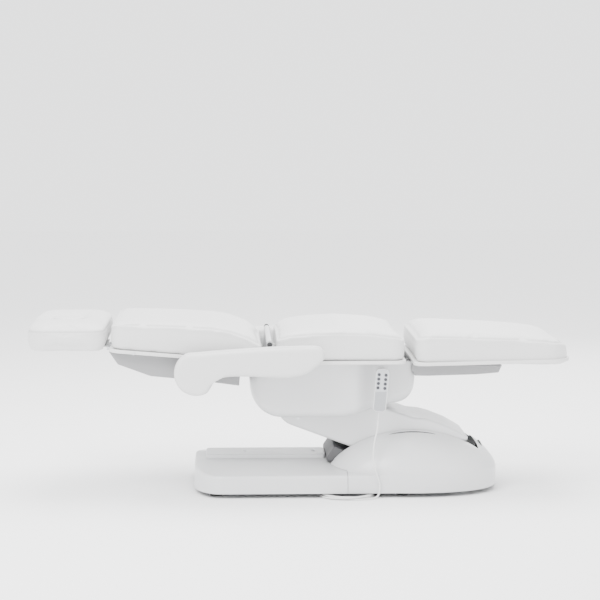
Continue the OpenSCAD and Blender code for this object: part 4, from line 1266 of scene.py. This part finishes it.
class BED_OT_fasteners(bpy.types.Operator):
    """Makes the screws of the covers, the hinge pins' caps and the stud on the back's edge"""
    bl_idname = "bed.fasteners"
    bl_label = "Fasteners"

    def execute(self, context):
        strip_low, strip_high = lo("ridge_cover"), hi("ridge_cover")
        seam = hi("base_plate_cover")[0]
        screws = [screw_head(np.array([x, 0.0, strip_high[2] + 0.0008]), (0, 0, 1), 0.007, 0.0022)
                  for x in (strip_low[0] + 0.140, seam - 0.110)]
        dome_high = hi("dome_cover")
        radius = dome_high[1]
        centre = dome_high[0] - radius
        x = pivot("lift")[0] + 0.008
        y = math.sqrt(radius ** 2 - (x - centre) ** 2)
        for side in (RIGHT, LEFT):
            outwards = np.array([x - centre, side * y, 0]) / radius
            screws.append(screw_head(np.array([x, side * y, 0.032]) - outwards * 0.0002, outwards, 0.005,
                                     0.0018))
        done(join("cover_screw_heads", screws), "base", "bright_steel", "cover_screws")

        up, half = pivot("level"), hi("arm_cover")[1]
        arm_screws = [
            screw_head(np.array([up[0] - 0.005, s * half, up[1] - 0.051]), (0, s, 0), 0.006, 0.002)
            for s in (RIGHT, LEFT)]
        done(join("arm_screws", arm_screws), "lift_arm", "bright_steel")

        hinge, edge = pivot("back_recline"), hi("seat_frame")[1]
        caps = [turned("cap", (hinge[0], s * edge, hinge[1]), (0, s, 0),
                       domed(0.0095, -0.001, 0.006, 0.0015, 0.002)) for s in (RIGHT, LEFT)]
        done(join("hinge_pin_caps", caps), "seat", "black_plastic")

        board = lo("back_board")
        along = 0.27
        stud_x = hinge[0] - along - 0.2
        slope = math.tan(math.radians(BACK_RISE))
        stud_z = lo("back_cushion")[2] + (hi("back_cushion")[0] - stud_x) * slope - 0.006
        studs = [turned("stud", (stud_x, s * (abs(board[1]) - 0.0005), stud_z), (0, s, 0),
                        domed(0.0065, -0.001, 0.005, 0.0012, 0.0016)) for s in (RIGHT, LEFT)]
        done(join("board_studs", studs), "back", "white_cover")
        return {"FINISHED"}


def on_handset(points):
    """Handset points (across, out, up) turned by its lean and moved to the middle of its shell."""
    low, high = lo("handset_shell"), hi("handset_shell")
    middle = (low + high) / 2
    a = math.radians(HANDSET_LEAN)
    x, y, z = np.moveaxis(np.asarray(points, float), -1, 0)
    return np.stack([middle[0] + x * math.cos(a) + z * math.sin(a), middle[1] + y,
                     middle[2] - x * math.sin(a) + z * math.cos(a)], -1)


class BED_OT_handset(bpy.types.Operator):
    """Makes the handset's shell, button caps, lamps and ribbed strain relief"""
    bl_idname = "bed.handset"
    bl_label = "Handset"

    def execute(self, context):
        low, high = lo("handset_shell"), hi("handset_shell")
        thick = high[1] - low[1]
        length, width, corner = 0.153, 0.046, 0.014
        out = -thick / 2
        plan = rounded_plan(-width / 2, width / 2, length / 2, corner, 48)
        plan = evenly(plan, 0.0025)
        edge = 0.0042
        bend = np.linspace(0, math.pi / 2, 6)
        rings = [(out + edge * 0.5 * (1 - math.cos(t)), edge * 0.5 * (1 - math.sin(t))) for t in bend]
        rings += [(-out - edge * (1 - math.cos(t)), edge * (1 - math.sin(t))) for t in bend[::-1]]
        grid = [np.column_stack([inset(plan, s)[:, 0], np.full(len(plan), y), inset(plan, s)[:, 1]])
                for y, s in rings]
        recess = [np.column_stack([inset(plan, s)[:, 0], np.full(len(plan), y), inset(plan, s)[:, 1]])
                  for y, s in ((out + 0.0015, 0.0032), (out + 0.0003, 0.0030))]
        shell = closed_skin("handset_case", on_handset(np.stack(recess + grid)))
        done(shell, "seat", "white_cover", "handset_shell", smooth=40)

        for number in range(1, 9):
            node = f"button_{number}"
            b_low, b_high = lo(node), hi(node)
            middle = (b_low + b_high) / 2
            cap = turned(f"{node}_cap", (middle[0], b_high[1], middle[2]), (0, -1, 0),
                         domed((b_high - b_low)[0] / 2, 0, (b_high - b_low)[1], 0.0004, 0.0007), 32)
            done(cap, node, "button_dark", node)

        lamps = ((-0.006, "lamp_green", (0.25, 0.55, 0.25)), (0.006, "lamp_amber", (0.65, 0.4, 0.12)))
        for x, name, tint in lamps:
            at = on_handset(np.array([x, out + 0.0010, 0.0660]))
            lamp = turned(name, at, (0, -1, 0), domed(0.0014, 0, 0.0014, 0.0004, 0.0004), 20)
            done(lamp, "seat", "handset_grey")
            lamp.data.materials[0] = lamp_finish(name, tint).material

        tip = on_handset(np.array([0, 0, -length / 2 - 0.030]))
        foot = on_handset(np.array([0, 0, -length / 2 + 0.0003]))
        axis = foot - tip
        reach = np.linalg.norm(axis)
        heights = np.linspace(0, reach, 49)
        radii = 0.0038 + 0.0017 * heights / reach - 0.0006 * (np.sin(heights / reach * 14 * math.pi) < 0)
        profile = [(0.0031, 0.0)] + list(zip(radii, heights)) + [(1e-5, reach)]
        relief = turned("ribbed_relief", tip, axis, profile, 24)
        done(relief, "seat", "white_cover", "handset_relief", smooth=50)
        return {"FINISHED"}


# ---------- Cord ----------

# Points of the cord from the handset's relief down to the floor
HANG = np.array([
    (0.2716, -0.262, 0.2664), (0.2705, -0.262, 0.250), (0.268, -0.265, 0.232), (0.263, -0.272, 0.214),
    (0.258, -0.282, 0.195), (0.254, -0.292, 0.172), (0.252, -0.301, 0.148), (0.254, -0.308, 0.124),
    (0.259, -0.311, 0.102), (0.265, -0.311, 0.082), (0.271, -0.311, 0.062), (0.274, -0.3115, 0.042),
    (0.273, -0.314, 0.024), (0.268, -0.319, 0.011), (0.258, -0.327, 0.005), (0.243, -0.335, 0.0032),
    (0.225, -0.342, 0.0032), (0.206, -0.347, 0.0032), (0.188, -0.3495, 0.0032)])
# Points of HANG where the cord passes from the carrier's share to the arm's and to the base's
ARM_CUT, CARRIER_CUT = 7, 3
# Points from the coil under the base plate to the gland
TAIL = np.array([
    (0.0715, -0.240, 0.0032), (0.074, -0.221, 0.0034), (0.081, -0.201, 0.004), (0.090, -0.183, 0.006),
    (0.0955, -0.169, 0.010), (0.097, -0.163, 0.015)])
COIL_CENTRE = np.array([0.165, -0.258])


def coil_turns():
    """Coil of two layers of two turns, wound clockwise from the front. Its radius and height are
    piecewise straight functions of the angle, so each turn lies beside or on the one before."""
    knots = np.array([
        # angle, radius, height
        (-87, 0.0880, 0.0032), (-405, 0.0880, 0.0032), (-445, 0.0819, 0.0032), (-760, 0.0819, 0.0032),
        (-805, 0.0819, 0.0094), (-1125, 0.0819, 0.0094), (-1165, 0.0882, 0.0094), (-1480, 0.0882, 0.0094),
        (-1522, 0.0943, 0.0094), (-1540, 0.0944, 0.0090), (-1592, 0.0944, 0.0034),
        (-1620, 0.0943, 0.0032)])
    angle = np.arange(knots[0, 0], knots[-1, 0] - 1, -9.0)
    radius = np.interp(-angle, -knots[:, 0], knots[:, 1])
    height = np.interp(-angle, -knots[:, 0], knots[:, 2])
    a = np.radians(angle)
    return np.column_stack([
        COIL_CENTRE[0] + radius * np.cos(a), COIL_CENTRE[1] + radius * np.sin(a), height])


def spline(points, per_span):
    """Smooth curve through points: on each span a cubic whose slope at a point is half the chord of its
    two neighbours."""
    p = np.vstack([2 * points[0] - points[1], points, 2 * points[-1] - points[-2]])
    t = np.linspace(0, 1, per_span, endpoint=False)[None, :, None]
    a, b, c, d = (p[i:len(p) - 3 + i, None, :] for i in range(4))
    spans = 0.5 * (2 * b + (c - a) * t + (2 * a - 5 * b + 4 * c - d) * t ** 2
                   + (3 * b - a - 3 * c + d) * t ** 3)
    return np.vstack([spans.reshape(-1, 3), points[-1:]])


def cord_skin(name, route, radius, sides=14):
    """Round cord along a route: each ring is square to it, and turns no more than the route does."""
    ahead = np.gradient(route, axis=0)
    ahead /= np.linalg.norm(ahead, axis=1)[:, None]
    across = np.zeros_like(ahead)
    across[0] = np.cross(ahead[0], [0.0, 1.0, 0.0])
    for i in range(len(route)):
        previous = across[max(i - 1, 0)]
        flat = previous - ahead[i] * np.dot(previous, ahead[i])
        across[i] = flat / np.linalg.norm(flat)
    third = np.cross(ahead, across)
    angle = np.linspace(0, 2 * math.pi, sides, endpoint=False)[None, :, None]
    circle = np.cos(angle) * across[:, None, :] + np.sin(angle) * third[:, None, :]
    grid = route[:, None, :] + radius * circle
    cord = closed_skin(name, grid)
    length = np.concatenate([[0], np.cumsum(np.linalg.norm(np.diff(route, axis=0), axis=1))])
    paint(cord, "along", np.repeat(length, sides))
    paint(cord, "around", np.tile(np.arange(sides) / sides, len(route)))
    return cord, float(length[-1])


class BED_OT_cord(bpy.types.Operator):
    """Makes the handset's cord in three stretches"""
    bl_idname = "bed.cord"
    bl_label = "Handset cord"

    def execute(self, context):
        diameter = sizes().cord_diameter
        curve = spline(HANG, 6)
        first, second = CARRIER_CUT * 6, ARM_CUT * 6
        lower = np.vstack([curve[second:-1], spline(np.vstack([HANG[-2:], coil_turns(), TAIL]), 4)[4:]])
        stretches = (
            ("cord_upper", curve[:first + 1], "carrier", "seat"),
            ("cord_middle", curve[first:second + 1], "lift_arm", "carrier"),
            ("cord_lower", lower, "base", "lift_arm"))
        for name, route, below, above in stretches:
            cord, length = cord_skin(name, route, diameter / 2)
            nodes = ("cord_tube", "cord_coil") if name == "cord_lower" else ()
            done(cord, None, "cord_white", *nodes, smooth=80)
            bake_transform(cord)
        return {"FINISHED"}


# ---------- Stage ----------


class BED_OT_stage(bpy.types.Operator):
    """Makes the pale floor, the soft studio light and the camera"""
    bl_idname = "bed.stage"
    bl_label = "Stage"

    def execute(self, context):
        scene = bpy.context.scene
        camera = bpy.data.objects.new("camera", bpy.data.cameras.new("camera"))
        bpy.context.collection.objects.link(camera)
        distance, height, beside = 7.27, 1.333, -0.244
        camera.location = (beside, -distance, height)
        camera.rotation_euler = (math.radians(90 - 5.24), 0, math.radians(-1.98))
        camera.data.lens, camera.data.sensor_width = 121.7, 36
        camera.data.dof.use_dof = False
        scene.camera = camera

        spread = 16.0
        floor = new_piece("floor", [(-spread, -spread, 0), (spread, -spread, 0), (spread, spread, 0),
                                    (-spread, spread, 0)], [(0, 1, 2, 3)])
        paper = Finish("studio_paper")
        pale = paper.blend(paper.noise(0.8, 2) * 0.3, (0.97, 0.97, 0.97), (0.95, 0.95, 0.95))
        paper.set(Base_Color=pale, Roughness=0.7 + paper.noise(30) * 0.1)
        floor.data.materials.append(paper.material)

        world = bpy.data.worlds.new("studio")
        scene.world = world
        world.use_nodes = True
        background = world.node_tree.nodes["Background"]
        background.inputs["Color"].default_value = (0.98, 0.985, 0.99, 1)
        background.inputs["Strength"].default_value = 2.5
        lamps = (
            ("key", (-1.8, -2.6, 3.6), 2.2, 210), ("fill", (3.2, -3.4, 2.2), 3.0, 20),
            ("top", (0.0, 0.8, 3.8), 3.0, 230), ("rim", (1.5, 3.8, 2.4), 2.4, 60))
        for name, place, size, power in lamps:
            lamp = bpy.data.lights.new(name, "AREA")
            lamp.size, lamp.energy = size, power
            holder = bpy.data.objects.new(name, lamp)
            holder.location = place
            aim = Vector((0, 0, 0.4)) - Vector(place)
            holder.rotation_euler = aim.to_track_quat("-Z", "Y").to_euler()
            bpy.context.collection.objects.link(holder)
        return {"FINISHED"}


class BED_OT_frame_finishes(bpy.types.Operator):
    """Gives each frame node that still shows the finish of its material slot"""
    bl_idname = "bed.frame_finishes"
    bl_label = "Frame finishes"

    def execute(self, context):
        for row in frame["record"]["subparts"]:
            for name, node in frame["nodes"].items():
                if name == row["node"]:
                    material = finish_for(row["material_slot"])
                    if not node.material_slots:
                        node.data.materials.append(material)
                    for place in node.material_slots:
                        place.material = material
        return {"FINISHED"}


STEPS = (
    BED_OT_stage, BED_OT_cord, BED_OT_headrest, BED_OT_back_pad, BED_OT_seat_pad, BED_OT_leg_pad,
    BED_OT_boards, BED_OT_armrests, BED_OT_base_covers, BED_OT_arm_cover, BED_OT_tub, BED_OT_under_covers,
    BED_OT_fasteners, BED_OT_handset, BED_OT_frame_finishes)


class BED_PT_panel(bpy.types.Panel):
    """Lists the bed's pieces, sizes and colours"""
    bl_idname = "BED_PT_panel"
    bl_label = "Treatment bed"
    bl_space_type = "VIEW_3D"
    bl_region_type = "UI"
    bl_category = "Treatment Bed"

    def draw(self, context):
        for group in (context.scene.bed_sizes, context.scene.bed_colours):
            for name in group.__annotations__:
                self.layout.prop(group, name)
        for step in STEPS:
            self.layout.operator(step.bl_idname)


CLASSES = (BedSizes, BedColours, *STEPS, BED_PT_panel)


def register():
    for cls in CLASSES:
        bpy.utils.register_class(cls)
    bpy.types.Scene.bed_sizes = bpy.props.PointerProperty(type=BedSizes)
    bpy.types.Scene.bed_colours = bpy.props.PointerProperty(type=BedColours)


def unregister():
    del bpy.types.Scene.bed_sizes
    del bpy.types.Scene.bed_colours
    for cls in reversed(CLASSES):
        bpy.utils.unregister_class(cls)


def main():
    register()
    for step in STEPS:
        getattr(bpy.ops.bed, step.bl_idname.split(".")[1])()


if __name__ == "__main__":
    main()
